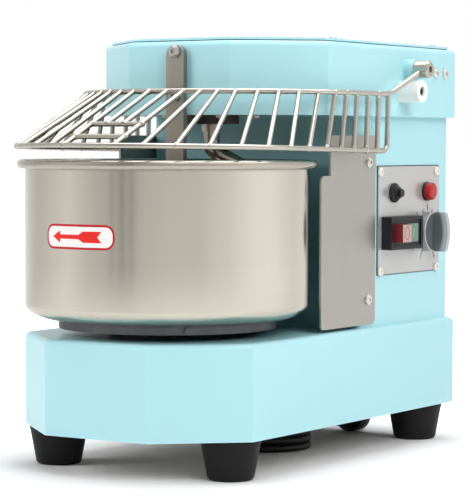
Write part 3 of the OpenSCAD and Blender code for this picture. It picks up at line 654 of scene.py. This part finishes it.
def cord_route():
    """Points of the mains cord in metres, from the gland to the plug."""
    # From the gland behind the column down to the floor and forward under the base.
    lead = [(GLAND[0], COLUMN_BACK + GLAND_LENGTH, GLAND[2]), (-85, 271, 148.5), (-85, 283, 143),
            (-85, 292, 133), (-85, 297, 118), (-85, 299, 100), (-85, 299, 82), (-85, 298, 64),
            (-85, 295, 47), (-84, 288, 31), (-83, 277, 18), (-81, 262, 9), (-78, 245, 5),
            (-74, 226, 3.6), (-69, 205, 3.6), (-62, 182, 3.6), (-54, 159, 3.6), (-45, 136, 3.6),
            (-36, 113, 3.6), (-29, 88, 3.6)]
    # Lanes of the coil's turns: angle reached in degrees, radius and height in millimetres.
    outer, inner = 38.5, 31.3
    low, middle, high = 3.6, 10.7, 17.8
    lanes = [(180, outer, low), (450, outer, low), (540, inner, low), (790, inner, low),
             (880, inner, middle), (1130, inner, middle), (1220, outer, middle),
             (1470, outer, middle), (1560, outer, high), (1740, outer, high), (1845, outer, 17.4)]
    coil = []
    for angle in (*range(180, 1845, 20), 1845):
        for (a0, r0, z0), (a1, r1, z1) in zip(lanes, lanes[1:]):
            if a0 <= angle <= a1:
                t = 0.5 - 0.5 * cos(pi * (angle - a0) / (a1 - a0))
                radius, height = r0 + t * (r1 - r0), z0 + t * (z1 - z0)
        turn = radians(angle)
        coil.append((COIL_CENTRE[0] + radius * cos(turn),
                     COIL_CENTRE[1] + radius * sin(turn), height))
    # The tail leaves the top lane at 45 degrees and bends gently round to the plug.
    heights = (17.4, 15.6, 13.8, 12.6, 12.2, 13, 15.2, 18)
    reach = (outer + TAIL_BEND) * cos(radians(45))
    tail = []
    for i, height in enumerate(heights[1:], 1):
        heading = radians(135 - i / (len(heights) - 1) * (45 + PLUG_TURN))
        tail.append((COIL_CENTRE[0] + reach - TAIL_BEND * sin(heading),
                     COIL_CENTRE[1] + reach + TAIL_BEND * cos(heading), height))
    return [at(*p) for p in lead + coil + tail]


class MIXER_OT_cord(bpy.types.Operator):
    """Adds the mains cord: down from its gland, coiled under the base and out to the plug"""

    bl_idname = "mixer.add_cord"
    bl_label = "Mains cord"

    def execute(self, context):
        route = cord_route()
        cord = empty_curve("3D")
        spline = cord.data.splines.new("BEZIER")
        spline.bezier_points.add(len(route) - 1)
        for point, place in zip(spline.bezier_points, route):
            point.co = place
            point.handle_left_type = point.handle_right_type = "AUTO"
        cord.data.resolution_u = 4
        cord.data.bevel_depth = context.scene.mixer_sizes.cord_diameter / 2
        cord.data.bevel_resolution = 5
        cord.data.use_fill_caps = True
        cord.name = "mains_cord"
        cord.data.materials.append(finishes()["cord"])
        plug, pins = plug_pieces(route[-1])
        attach(cord, "housing")
        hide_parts("cord_lead", "cord_coil", "cord_tail")
        return {"FINISHED"}


def plug_pieces(place):
    """A round two-pin plug with a ribbed grip, on its side under the back of the base."""
    direction = Vector((sin(radians(PLUG_TURN)), cos(radians(PLUG_TURN)), 0))
    body = turned([(4.6, 0), (5, 0.4), (5.3, 3), (4.4, 3.2), (4.4, 4.4), (5.6, 4.6), (5.8, 7.4),
                   (4.8, 7.6), (4.8, 8.8), (6.2, 9), (6.4, 12), (5.4, 12.2), (5.4, 13.4), (7, 13.6),
                   (7.4, 16), (9, 16.6), (10.6, 22), (12.4, 28), (14.6, 34), (15.6, 37.4),
                   (17.2, 38.4), (17.9, 39.4), (17.9, 45), (17.2, 45.4), (17.2, 46.4),
                   (17.9, 46.8), (17.9, 54.6), (17.2, 55.7), (15, 56)])
    stand(closed(body, ring(lowest=55.9)), place, direction)
    settled(body, "plug_body", "housing", "black_plastic", "plug")
    pins = []
    for side in (-1, 1):
        pin = turned([(2.3, 0), (2.4, 0.2), (2.4, 10), (2.2, 10.2), (2.2, 17.4), (1.7, 18.6),
                      (0.9, 19)], 24)
        foot = place + direction * 55.8 * MM + at(0, 0, side * 9.5)
        pins.append(stand(closed(pin, ring(lowest=18.95)), foot, direction))
    return body, settled(joined(pins), "plug_pins", "housing", "zinc")


class MIXER_OT_gland(bpy.types.Operator):
    """Adds the ribs of the tapered strain relief behind the column"""

    bl_idname = "mixer.add_strain_relief"
    bl_label = "Strain relief"

    def execute(self, context):
        ribs = []
        bore, thick, proud = 3.7, 1.6, 0.45
        for i in range(5):
            rise = 6 + 3.6 * i
            # The gland tapers from 8 mm to 5 mm, and each rib stands a little proud of it.
            radius = 8 - 3 * (rise - 4) / 20 + proud
            top = rise + thick
            rib = turned([(bore, rise), (radius, rise), (radius, top), (bore, top)], 32)
            ribs.append(closed(rib, ring(lowest=top - 0.1, widest=bore + 0.1)))
        ribs = stand(joined(ribs), at(*GLAND), (0, 1, 0))
        settled(ribs, "strain_relief_ribs", "housing", "black_plastic")
        return {"FINISHED"}


# Distances in millimetres between the bars' lower ends and between their upper ends.
FOOT_PITCH = (17, 17, 26, 29, 29.5, 29.5, 29, 30, 31, 31, 26, 23, 24, 20.5, 19.5)
TOP_PITCH = (18, 16.5, 16, 15.5, 16, 20, 19.5, 20, 21, 20, 16, 17.5, 20.5, 20, 19)
HOOP_RADIUS = 137.5
LOWER_HOOP = (BOWL_Y, 292.6)
UPPER_HOOP = (BOWL_Y + 108, 343.8)
LOWER_SLOPE = tan(radians(0.9))
# How far up the bars the feed frame's cross wires run.
CROSS_WIRES = (0.16, 0.385)
# The hoop's arms bend at the knee and run on to their holes in the collars.
KNEE_Y = 75
COLLAR_X = 143.3


def hoop_point(cy, z, s):
    """Point on a guard hoop at a signed distance from the middle of its front."""
    quarter = HOOP_RADIUS * pi / 2
    a = min(abs(s), quarter) / HOOP_RADIUS
    side = 1 if s > 0 else -1 if s < 0 else 0
    straight = max(0.0, abs(s) - quarter)
    return Vector((side * HOOP_RADIUS * sin(a), cy - HOOP_RADIUS * cos(a) + straight, z))


def hoop_front(cy, z):
    """The round front half of a hoop."""
    arc = [radians(-90 + 180 * i / 96) for i in range(97)]
    return [Vector((HOOP_RADIUS * sin(a), cy - HOOP_RADIUS * cos(a), z)) for a in arc]


def sloped(point):
    """The point moved up or down onto the lower hoop's slope."""
    return Vector((point.x, point.y, point.z + (LOWER_HOOP[0] - point.y) * LOWER_SLOPE))


def bar_point(n, t):
    """Point on bar n, counted from the middle to either side; t runs from foot to top."""
    side = 1 if n > 0 else -1
    foot = sloped(hoop_point(*LOWER_HOOP, side * sum(FOOT_PITCH[:abs(n)])))
    top = hoop_point(*UPPER_HOOP, side * sum(TOP_PITCH[:abs(n)]))
    return foot.lerp(top, t)


def corner(before, point, after, reach=9):
    """A round bend at the point, on the way from one neighbour to the other."""
    start = point + (before - point).normalized() * reach
    end = point + (after - point).normalized() * reach
    return [start.lerp(point, i / 8).lerp(point.lerp(end, i / 8), i / 8) for i in range(9)]


def weld_spots(last):
    """Place and direction of every bead, where a bar meets a hoop or a cross wire."""
    inset = 1.2
    spots = []
    for n in range(-last, last + 1):
        along = (bar_point(n, 1) - bar_point(n, 0)).normalized()
        if n not in (0, 1, -last, last):
            spots.append((bar_point(n, 0) + along * inset, along))
        spots.append((bar_point(n, 1) - along * inset, along))
    for t in CROSS_WIRES:
        across = (bar_point(2, t) - bar_point(-1, t)).normalized()
        spots += [(bar_point(-1, t), across), (bar_point(2, t), across)]
    return spots


class MIXER_OT_guard(bpy.types.Operator):
    """Adds the welded wire guard: two hoops, their bars and a bead at each joint"""

    bl_idname = "mixer.add_guard"
    bl_label = "Wire guard"

    def execute(self, context):
        sizes = context.scene.mixer_sizes
        last = len(FOOT_PITCH)
        # The lower hoop turns up at both ends and is the last bar on each side.
        lower = [sloped(p) for p in hoop_front(*LOWER_HOOP)]
        left_top, right_top = bar_point(-last, 1), bar_point(last, 1)
        lower = [left_top] + corner(left_top, bar_point(-last, 0), lower[0]) + lower
        lower += corner(lower[-1], bar_point(last, 0), right_top) + [right_top]

        def arm(side):
            knee = Vector((side * HOOP_RADIUS, KNEE_Y, UPPER_HOOP[1]))
            hole = Vector((side * COLLAR_X, *PIVOT))
            return corner(knee - Vector((0, 40, 0)), knee, hole, 10) + [knee.lerp(hole, 0.88)]

        upper = arm(-1)[::-1] + hoop_front(*UPPER_HOOP) + arm(1)
        hoops = wires([[p * MM for p in lower], [p * MM for p in upper]], sizes.wire_diameter / 2, 6)
        settled(hoops, "guard_hoop_wires", "guard", "wire", "guard_hoops")

        # The two bars in the middle start at the feed frame's upper cross wire.
        bars = [(bar_point(n, CROSS_WIRES[1] if n in (0, 1) else 0), bar_point(n, 1))
                for n in range(1 - last, last)]
        bars += [(bar_point(-1, t), bar_point(2, t)) for t in CROSS_WIRES]
        bars = wires([[foot * MM, top * MM] for foot, top in bars], sizes.bar_diameter / 2, 4)
        settled(bars, "guard_bar_wires", "guard", "wire", "guard_bars")

        put_down()
        bpy.ops.mesh.primitive_ico_sphere_add(subdivisions=2, radius=sizes.weld_bead)
        first = context.object
        edit(first, "SELECT")
        bpy.ops.transform.resize(value=(1, 1, 1.45))
        put_down()
        beads = []
        for i, (place, along) in enumerate(weld_spots(last)):
            bead = first.copy()
            bead.data = first.data.copy()
            context.collection.objects.link(bead)
            swell = 1 + 0.10 * sin(i * 2.4)
            bead.matrix_world = (Matrix.Translation(place * MM)
                                 @ along.to_track_quat("Z", "Y").to_matrix().to_4x4()
                                 @ Matrix.Scale(swell, 4))
            beads.append(bead)
        bpy.data.objects.remove(first)
        beads = joined(beads)
        smooth(beads, 60)
        settled(beads, "guard_weld_beads", "guard", "wire")
        return {"FINISHED"}


class MIXER_OT_bowl(bpy.types.Operator):
    """Adds the spun bowl with its rolled rim"""

    bl_idname = "mixer.add_bowl"
    bl_label = "Bowl"

    def execute(self, context):
        sizes = context.scene.mixer_sizes
        radius, low, high = sizes.bowl_radius, 135.5, 282 * MM
        roll = sizes.rim_roll
        top = high - roll
        wall = radius / MM
        # From the flat bottom out through a wide, low bend and up the wall.
        bend, rise = 38, 15
        flat = wall - bend
        profile = [(8, low), (flat * 0.6, low), (flat, low)]
        for degrees in range(9, 91, 9):
            a = radians(degrees)
            profile.append((flat + bend * sin(a), low + rise * (1 - cos(a))))
        profile += [(wall, 190), (wall, 235), (wall, top / MM)]
        bowl = turned(profile, 192)
        outward(bowl)
        bowl.location = (0, BOWL_Y * MM, 0)
        take(bowl)
        fixed()
        edit(bowl)
        pick(bowl, "FACE", lambda co: co.z > top - 1e-5)
        bpy.ops.mesh.delete(type="FACE")
        put_down()
        modified(bowl, "SOLIDIFY", thickness=sizes.bowl_sheet, offset=-1)
        # The rolled rim reaches 1.1 mm in over the wall.
        bpy.ops.mesh.primitive_torus_add(
            major_segments=192, minor_segments=24, major_radius=radius + roll - 0.0011,
            minor_radius=roll, location=(0, BOWL_Y * MM, top))
        rim = context.object
        fixed()
        bowl = joined([bowl, rim])
        smooth(bowl)
        settled(bowl, "spun_bowl", "bowl_unit", "stainless", "bowl")
        return {"FINISHED"}


class MIXER_OT_spiral(bpy.types.Operator):
    """Adds the smooth spiral arm"""

    bl_idname = "mixer.add_spiral"
    bl_label = "Spiral"

    def execute(self, context):
        def ease(t):
            return t * t * (3 - 2 * t)

        # Down the neck, out into the first turn, round and down, and in again at the tip.
        neck_z, turn_z, drop, swing, out_by = 308, 294, 142, 41, 0.16
        path = [Vector((0, 0, neck_z - 2.5 * i)) for i in range(5)]
        steps = 112
        for i in range(2, steps + 1):
            t = i / steps
            out = ease(min(1, t / out_by)) * (1 - 0.62 * ease(max(0, (t - 0.8) / 0.2)))
            a = radians(468 * t - 25)
            z = turn_z - drop * (0.10 * ease(min(1, t / out_by)) + 0.9 * t ** 1.15)
            path.append(Vector((swing * out * cos(a), swing * out * sin(a), z)))
        shift = Vector((0, SPIRAL_Y, 0))
        last = len(path) - 1
        # The rod thins slowly, and its last five steps round off the tip.
        radii = [7.8 - 0.6 * i / last - 0.95 * max(0, i - last + 5) for i in range(last + 1)]
        arm = wires([[(p + shift) * MM for p in path]], MM, 8, radii)
        steel = finish("Polished steel rod", (0.40, 0.36, 0.32), (0.33, 0.30, 0.26), (0.16, 0.28), 1.0,
                       patch=30, grain=500)
        settled(arm, "spiral_arm", "spiral_unit", "stainless", "spiral", look=steel)
        return {"FINISHED"}


class MIXER_OT_knob(bpy.types.Operator):
    """Adds the timer's knob: a skirt and a tall grip"""

    bl_idname = "mixer.add_timer_knob"
    bl_label = "Timer knob"

    def execute(self, context):
        radius = context.scene.mixer_sizes.knob_diameter / 2
        start = (PANEL_X + 0.3) * MM
        put_down()
        bpy.ops.mesh.primitive_cylinder_add(
            vertices=96, radius=radius, depth=KNOB_LENGTH * MM, rotation=(0, pi / 2, 0),
            location=(start + KNOB_LENGTH / 2 * MM, TIMER[0] * MM, TIMER[1] * MM))
        grip = context.object
        fixed()
        edit(grip)

        def trim(place, normal):
            bpy.ops.mesh.select_all(action="SELECT")
            bpy.ops.mesh.bisect(plane_co=place, plane_no=normal, clear_outer=True, use_fill=True)

        half_grip = 3
        for side in (-1, 1):
            trim((0, (TIMER[0] + side * half_grip) * MM, 0), (0, side, 0))
        # The grip's outer end is a shallow arch.
        arch, middle = KNOB_ARCH * MM, start + (KNOB_LENGTH - KNOB_ARCH) * MM
        for degrees in range(-18, 19, 4):
            c, s = cos(radians(degrees)), sin(radians(degrees))
            trim((middle + arch * c, 0, TIMER[1] * MM + arch * s), (c, 0, s))
        put_down()
        outward(grip)
        modified(grip, "BEVEL", width=0.8 * MM, segments=3, limit_method="ANGLE")
        outer = radius / MM
        skirt = turned([(outer - 0.5, 0), (outer, 0.5), (outer, 7.2), (outer - 0.4, 7.6),
                        (outer - 1, 7.6), (outer - 1.3, 7.2), (8, 7.2)], 96)
        closed(skirt, ring(lowest=7.1, widest=8.1))
        stand(skirt, (start, TIMER[0] * MM, TIMER[1] * MM), (1, 0, 0))
        knob = joined([grip, skirt])
        smooth(knob)
        settled(knob, "timer_grip", "timer_turn", "knob", "timer_knob")
        return {"FINISHED"}


def on_panel(profile, test, x, place, name, slot, node, angle=40):
    """A turned piece of trim that stands out from the control plate."""
    piece = closed(turned(profile), test, angle)
    stand(piece, (x * MM, place[0] * MM, place[1] * MM), (1, 0, 0))
    settled(piece, name, "housing", slot, node)


class MIXER_OT_lamp(bpy.types.Operator):
    """Adds the red lamp's collar and lens"""

    bl_idname = "mixer.add_lamp"
    bl_label = "Lamp"

    def execute(self, context):
        on_panel([(9, 0), (9.4, 0.4), (9.4, 2.2), (9, 2.8), (8, 2.8)], ring(lowest=2.75, widest=8.1),
                 PANEL_X, LAMP, "lamp_collar", "black_plastic", "lamp_bezel")
        on_panel([(8.8, 0), (8.8, 4.0), (8.6, 5.0), (8.0, 5.8), (7.0, 6.3), (4, 6.5), (0.6, 6.5)],
                 ring(lowest=6.4, widest=0.7), PANEL_X + 2.6, LAMP, "lamp_dome", "lamp_red",
                 "lamp_lens", 30)
        return {"FINISHED"}


class MIXER_OT_reset(bpy.types.Operator):
    """Adds the stepped nut round the reset button"""

    bl_idname = "mixer.add_reset_nut"
    bl_label = "Reset nut"

    def execute(self, context):
        on_panel([(8.9, 0), (9.4, 0.5), (9.4, 2.2), (8.8, 3), (7.4, 3.5), (6.5, 4), (6.2, 6),
                  (5.7, 6.5), (4.2, 6.5), (4.2, 1)], ring(highest=1.1, widest=4.3),
                 PANEL_X, RESET, "reset_collar", "black_plastic", "reset_nut")
        return {"FINISHED"}


# ---- prints ----


def face_out(piece, x, y, z):
    """Stands a flat piece up to look along +X, at a place in millimetres."""
    turn = Matrix(((0, 0, 1), (1, 0, 0), (0, 1, 0))).to_4x4()
    piece.matrix_world = Matrix.Translation(at(x, y, z)) @ turn


def printed(loops, name, x, y, z, body, slot, look, lift=0.1):
    """A flat print on a face that looks along +X, with its own thin thickness."""
    piece = flat_shape(loops)
    modified(piece, "SOLIDIFY", thickness=lift * MM, offset=1)
    face_out(piece, x, y, z)
    return settled(piece, name, body, slot, look=look)


def dial_mark(turn, inner, outer, half=0.6):
    """A narrow box that points away from the dial's middle."""
    c, s = cos(turn), sin(turn)
    corners = ((inner, half), (outer, half), (outer, -half), (inner, -half))
    return [(reach * c - aside * s, reach * s + aside * c) for reach, aside in corners]


class MIXER_OT_prints(bpy.types.Operator):
    """Adds the dial's marks and numbers and the marks on the two buttons"""

    bl_idname = "mixer.add_prints"
    bl_label = "Printed marks"

    def execute(self, context):
        ink = finish("Dark ink", (0.06, 0.06, 0.065), (0.09, 0.09, 0.09), (0.5, 0.6), patch=90)
        dial = []
        # A mark every 25 degrees over the knob's 300 degrees, and a number at every fourth.
        for i in range(13):
            a = radians(240 - 25 * i)
            # The marks at the right stop short of the panel's edge.
            edge = 24.2 / cos(a) if cos(a) > 0.9 else 27
            mark = dial_mark(a, 21, min(edge, 24.5 if i % 2 else 27))
            dial.append(printed([mark], "mark", PANEL_X, *TIMER, "housing", "panel", ink))
        for i, number in enumerate(("0", "10", "20", "30")):
            a = radians(240 - 100 * i)
            put_down()
            bpy.ops.object.text_add()
            text = context.object.data
            text.body = number
            text.size = 4.2 * MM
            text.align_x = text.align_y = "CENTER"
            text.extrude = 0.05 * MM
            figure = as_mesh()
            face_out(figure, PANEL_X + 0.05, TIMER[0] + 29 * cos(a), TIMER[1] + 29 * sin(a))
            dial.append(settled(figure, "number", "housing", "panel", look=ink))
        dial = joined(dial)
        dial.name = dial.data.name = "dial_marks"
        pale = finish("Pink button face", (0.48, 0.335, 0.305), (0.44, 0.30, 0.275), (0.3, 0.4))
        red = finish("Red ink", (0.50, 0.05, 0.06), (0.44, 0.05, 0.06), (0.4, 0.5), patch=90)
        stop_x, cap = SWITCH_FACE_X + STOP_PROUD, 0.25
        printed([rounded_box_loop(17.2, 16.8, 1)], "stop_face", stop_x, STOP_Y, SWITCH[1],
                "stop_push", "stop_red", pale, cap)
        printed([oval_loop(0.66 * 6.6, 6.6), oval_loop(0.52 * 6.6, 0.86 * 6.6)], "stop_ring",
                stop_x + cap, STOP_Y, SWITCH[1], "stop_push", "stop_red", red, 0.08)
        white = finish("Pale ink", (0.30, 0.39, 0.34), (0.27, 0.36, 0.31), (0.4, 0.5), patch=90)
        printed([[(-0.8, -4.6), (0.8, -4.6), (0.8, 4.6), (-0.8, 4.6)]], "start_bar",
                SWITCH_FACE_X + 1, START_Y, SWITCH[1], "start_push", "start_green", white, 0.08)
        return {"FINISHED"}


class MIXER_OT_arrow_label(bpy.types.Operator):
    """Adds the label on the bowl that shows which way it turns"""

    bl_idname = "mixer.add_arrow_label"
    bl_label = "Arrow label"

    def execute(self, context):
        radius = context.scene.mixer_sizes.bowl_radius / MM
        middle, height = radians(-93), 215
        width, tall = 77, 22
        white = finish("White label", (0.86, 0.84, 0.82), (0.82, 0.80, 0.78), (0.35, 0.45))
        red = finish("Red print", (0.76, 0.022, 0.016), (0.70, 0.018, 0.013), (0.35, 0.45),
                     specular=0.3)
        edging = finish("Dark red print", (0.50, 0.016, 0.022), (0.45, 0.014, 0.02), (0.35, 0.45),
                        specular=0.3)
        field, inside = rounded_box_loop(width, tall, 9), rounded_box_loop(width - 4, tall - 4, 7)
        arrow = [(-29.8, 0), (-20, 5.3), (-20, 1.9), (1.8, 1.9), (6.8, 4.9), (26, 4.9), (21.5, 0),
                 (26, -4.9), (6.8, -4.9), (1.8, -1.9), (-20, -1.9), (-20, -5.3)]
        for name, loops, look, lift in (("label_field", [field], white, 0.12),
                                        ("label_border", [field, inside], edging, 0.20),
                                        ("label_arrow", [arrow], red, 0.20)):
            piece = flat_shape(loops)
            sliced(piece, 2.5, -width / 2, width / 2)
            modified(piece, "SOLIDIFY", thickness=0.1 * MM, offset=-1)
            for vertex in piece.data.vertices:
                a = middle + vertex.co.x / MM / radius
                out = radius + lift + vertex.co.z / MM
                vertex.co = (at(out * cos(a), BOWL_Y + out * sin(a), height)
                             + Vector((0, 0, vertex.co.y)))
            outward(piece)
            settled(piece, name, "bowl_unit", "stainless", look=look)
        return {"FINISHED"}


# ---- studio ----


def area_light(name, place, target, size, power):
    """A soft rectangular light that looks at its target."""
    bpy.ops.object.light_add(type="AREA", location=place)
    lamp = bpy.context.object
    lamp.name = name
    lamp.data.shape = "RECTANGLE"
    lamp.data.size, lamp.data.size_y = size
    lamp.data.energy = power
    lamp.rotation_euler = (Vector(target) - Vector(place)).to_track_quat("-Z", "Y").to_euler()
    return lamp


# Brightness of the studio's walls by direction in degrees: a pale wall at the left, a gap
# beside the camera and a bright screen at the right.
WALLS = ((-140, 1.1), (-115, 0.8), (-90, 0.6), (-75, 0.8), (-30, 0.9), (15, 1.35), (35, 1.35),
         (60, 1.1), (110, 1.0), (140, 1.0))
BACK_WALL = 0.8
BRIGHTEST = 1.5
# Thin dark stands before the walls: directions in degrees, and edges either side of each.
STANDS = (-100, -92, -84)
STAND_EDGES = ((-1.5, 0), (-0.7, 1), (0.7, 1), (1.5, 0))
STAND_SHADE = 0.5
WHITE = (1, 1, 1, 1)


def grey_ring(add, around, ends, levels):
    """Grey levels by direction in degrees, and one level where the circle begins and ends."""
    ramp = add.node("ValToRGB", {"Fac": around})
    stops = ramp.color_ramp.elements
    for stop in stops:
        stop.color = (ends, ends, ends, 1)
    for degrees, level in levels:
        stops.new((degrees + 180) / 360).color = (level, level, level, 1)
    return ramp.outputs["Color"]


def walls_group():
    """How bright the studio's walls are in each direction, as metal sees them."""
    if made := bpy.data.node_groups.get("Studio walls"):
        return made
    group, add, given, result = new_group(
        "Studio walls", {"Direction": (0, -1, 0), "Stands": 1.0}, {"Strength": "Float"})
    flat = add.split(given["Direction"])
    around = add.ranged(add.math("ARCTAN2", flat["Y"], flat["X"]), -pi, pi)
    walls = grey_ring(add, around, BACK_WALL / BRIGHTEST,
                      [(d, level / BRIGHTEST) for d, level in WALLS])
    stands = grey_ring(add, around, 0, [(d + away, STAND_SHADE * share)
                                        for d in STANDS for away, share in STAND_EDGES])
    left = add.math("SUBTRACT", 1, add.math("MULTIPLY", stands, given["Stands"]))
    walls = add.math("MULTIPLY", walls, BRIGHTEST)
    add.feed(result, {"Strength": add.math("MULTIPLY", walls, left)})
    return group


def floor_material(colour):
    """A white floor that glows for the camera away from the machine, keeping its shadow only near it,
    and runs on into the white background.
    """
    material, add, shader = made_material("Studio floor")
    place = add.place()
    reach = add.vector("LENGTH", place)
    # Distance outwards from the rectangle that the machine stands over; the camera sees the floor glow
    # whiter the farther out it lies, painted light that sets where the shadow fades.
    past = add.vector("SUBTRACT", add.vector("ABSOLUTE", place), (0.10, 0.215, 0))
    clear = add.vector("LENGTH", add.vector("MAXIMUM", past, (0, 0, 0)))
    painted_glow_away = add.ranged(clear, 0, 0.235, interpolation_type="SMOOTHSTEP")
    path = add.node("LightPath").outputs
    add.feed(shader, {
        "Base Color": add.mix(add.noise(place, 3), (*colour, 1), (*darker(colour, 0.99), 1)),
        "Roughness": 0.8, "Emission Color": WHITE,
        "Emission Strength": add.math("MULTIPLY", path["Is Camera Ray"], painted_glow_away)})
    # Away from the machine, metal sees the studio's walls in place of the floor.
    walls = add.group(walls_group(), {"Direction": place, "Stands": add.ranged(reach, 2.0, 2.3)})
    mirrored = add.node("Emission", {"Strength": walls["Strength"]}).outputs[0]
    away = add.ranged(reach, 0.6, 1.4, interpolation_type="SMOOTHSTEP")
    share = add.math("MULTIPLY", path["Is Glossy Ray"], away)
    add.feed(add.tree.nodes["Material Output"], {
        "Surface": add.shaders(share, shader.outputs[0], mirrored)})
    return material


def studio_world():
    """A dim room for the shadows, its walls for the metal, and plain white behind everything."""
    world = bpy.data.worlds.new("Studio")
    world.use_nodes = True
    add = Wiring(world.node_tree)
    room = add.feed(add.tree.nodes["Background"], {"Color": WHITE, "Strength": 0.05}).outputs[0]
    white = add.node("Background", {"Color": WHITE, "Strength": 1.0}).outputs[0]
    walls = add.group(walls_group(), {"Direction": add.place("Generated")})
    mirrored = add.node("Background", {"Strength": walls["Strength"]}).outputs[0]
    path = add.node("LightPath").outputs
    plain = add.math("MAXIMUM", path["Is Camera Ray"], path["Is Transmission Ray"])
    seen = add.shaders(plain, add.shaders(path["Is Glossy Ray"], room, mirrored), white)
    add.feed(add.tree.nodes["World Output"], {"Surface": seen})
    return world


class MIXER_OT_studio(bpy.types.Operator):
    """Adds the camera, the lamps, the floor and the white surroundings"""

    bl_idname = "mixer.add_studio"
    bl_label = "Studio"

    def execute(self, context):
        scene = context.scene
        put_down()
        bpy.ops.object.camera_add(
            location=(1.17483, -1.81513, 0.29715),
            rotation=(radians(87.3), radians(-0.13), radians(32.64)))
        camera = context.object
        camera.data.sensor_fit = "HORIZONTAL"
        camera.data.sensor_width = 36
        # The lens follows from a focal length in pixels and a view 470 pixels wide.
        camera.data.lens = 36 * 2268.55 / 470
        camera.data.clip_end = 200
        scene.camera = camera

        key = area_light("Key light", (-2.05, -1.95, 1.4), (0, -0.05, 0.15), (1.8, 1.6), 60)
        fill = area_light("Fill light", (2.3, -0.85, 1.7), (0, 0, 0.15), (1.8, 1.6), 56)
        area_light("Top light", (0.1, 0.35, 2.3), (0, 0, 0), (2.6, 2.6), 52)
        for lamp in (key, fill):
            lamp.visible_glossy = False

        bpy.ops.mesh.primitive_plane_add(size=60, location=(0, 0, -0.0004))
        floor = context.object
        floor.name = "studio_floor"
        edit(floor, "SELECT")
        bpy.ops.mesh.subdivide(number_cuts=3)
        put_down()
        floor.data.materials.append(floor_material(scene.mixer_colours.floor))
        scene.world = studio_world()
        scene.view_settings.view_transform = "Standard"
        return {"FINISHED"}


class MIXER_PT_panel(bpy.types.Panel):
    """Lists the mixer's settings and pieces"""

    bl_label = "Dough mixer"
    bl_idname = "MIXER_PT_panel"
    bl_space_type = "VIEW_3D"
    bl_region_type = "UI"
    bl_category = "Mixer"

    def draw(self, context):
        layout = self.layout
        for group in (context.scene.mixer_sizes, context.scene.mixer_colours):
            box = layout.box()
            for name in group.__annotations__:
                box.prop(group, name)
        for piece in PIECES:
            layout.operator(piece.bl_idname)


PIECES = (
    MIXER_OT_studio,
    MIXER_OT_cord,
    MIXER_OT_nodes,
    MIXER_OT_gland,
    MIXER_OT_bowl,
    MIXER_OT_spiral,
    MIXER_OT_guard,
    MIXER_OT_knob,
    MIXER_OT_lamp,
    MIXER_OT_reset,
    MIXER_OT_prints,
    MIXER_OT_arrow_label,
)
CLASSES = (MixerSizes, MixerColours, *PIECES, MIXER_PT_panel)


def register():
    for made in CLASSES:
        bpy.utils.register_class(made)
    bpy.types.Scene.mixer_sizes = bpy.props.PointerProperty(type=MixerSizes)
    bpy.types.Scene.mixer_colours = bpy.props.PointerProperty(type=MixerColours)


def unregister():
    del bpy.types.Scene.mixer_colours
    del bpy.types.Scene.mixer_sizes
    for made in reversed(CLASSES):
        bpy.utils.unregister_class(made)


def main():
    register()
    put_down()
    for piece in PIECES:
        getattr(bpy.ops.mixer, piece.bl_idname.split(".")[1])()


if __name__ == "__main__":
    main()
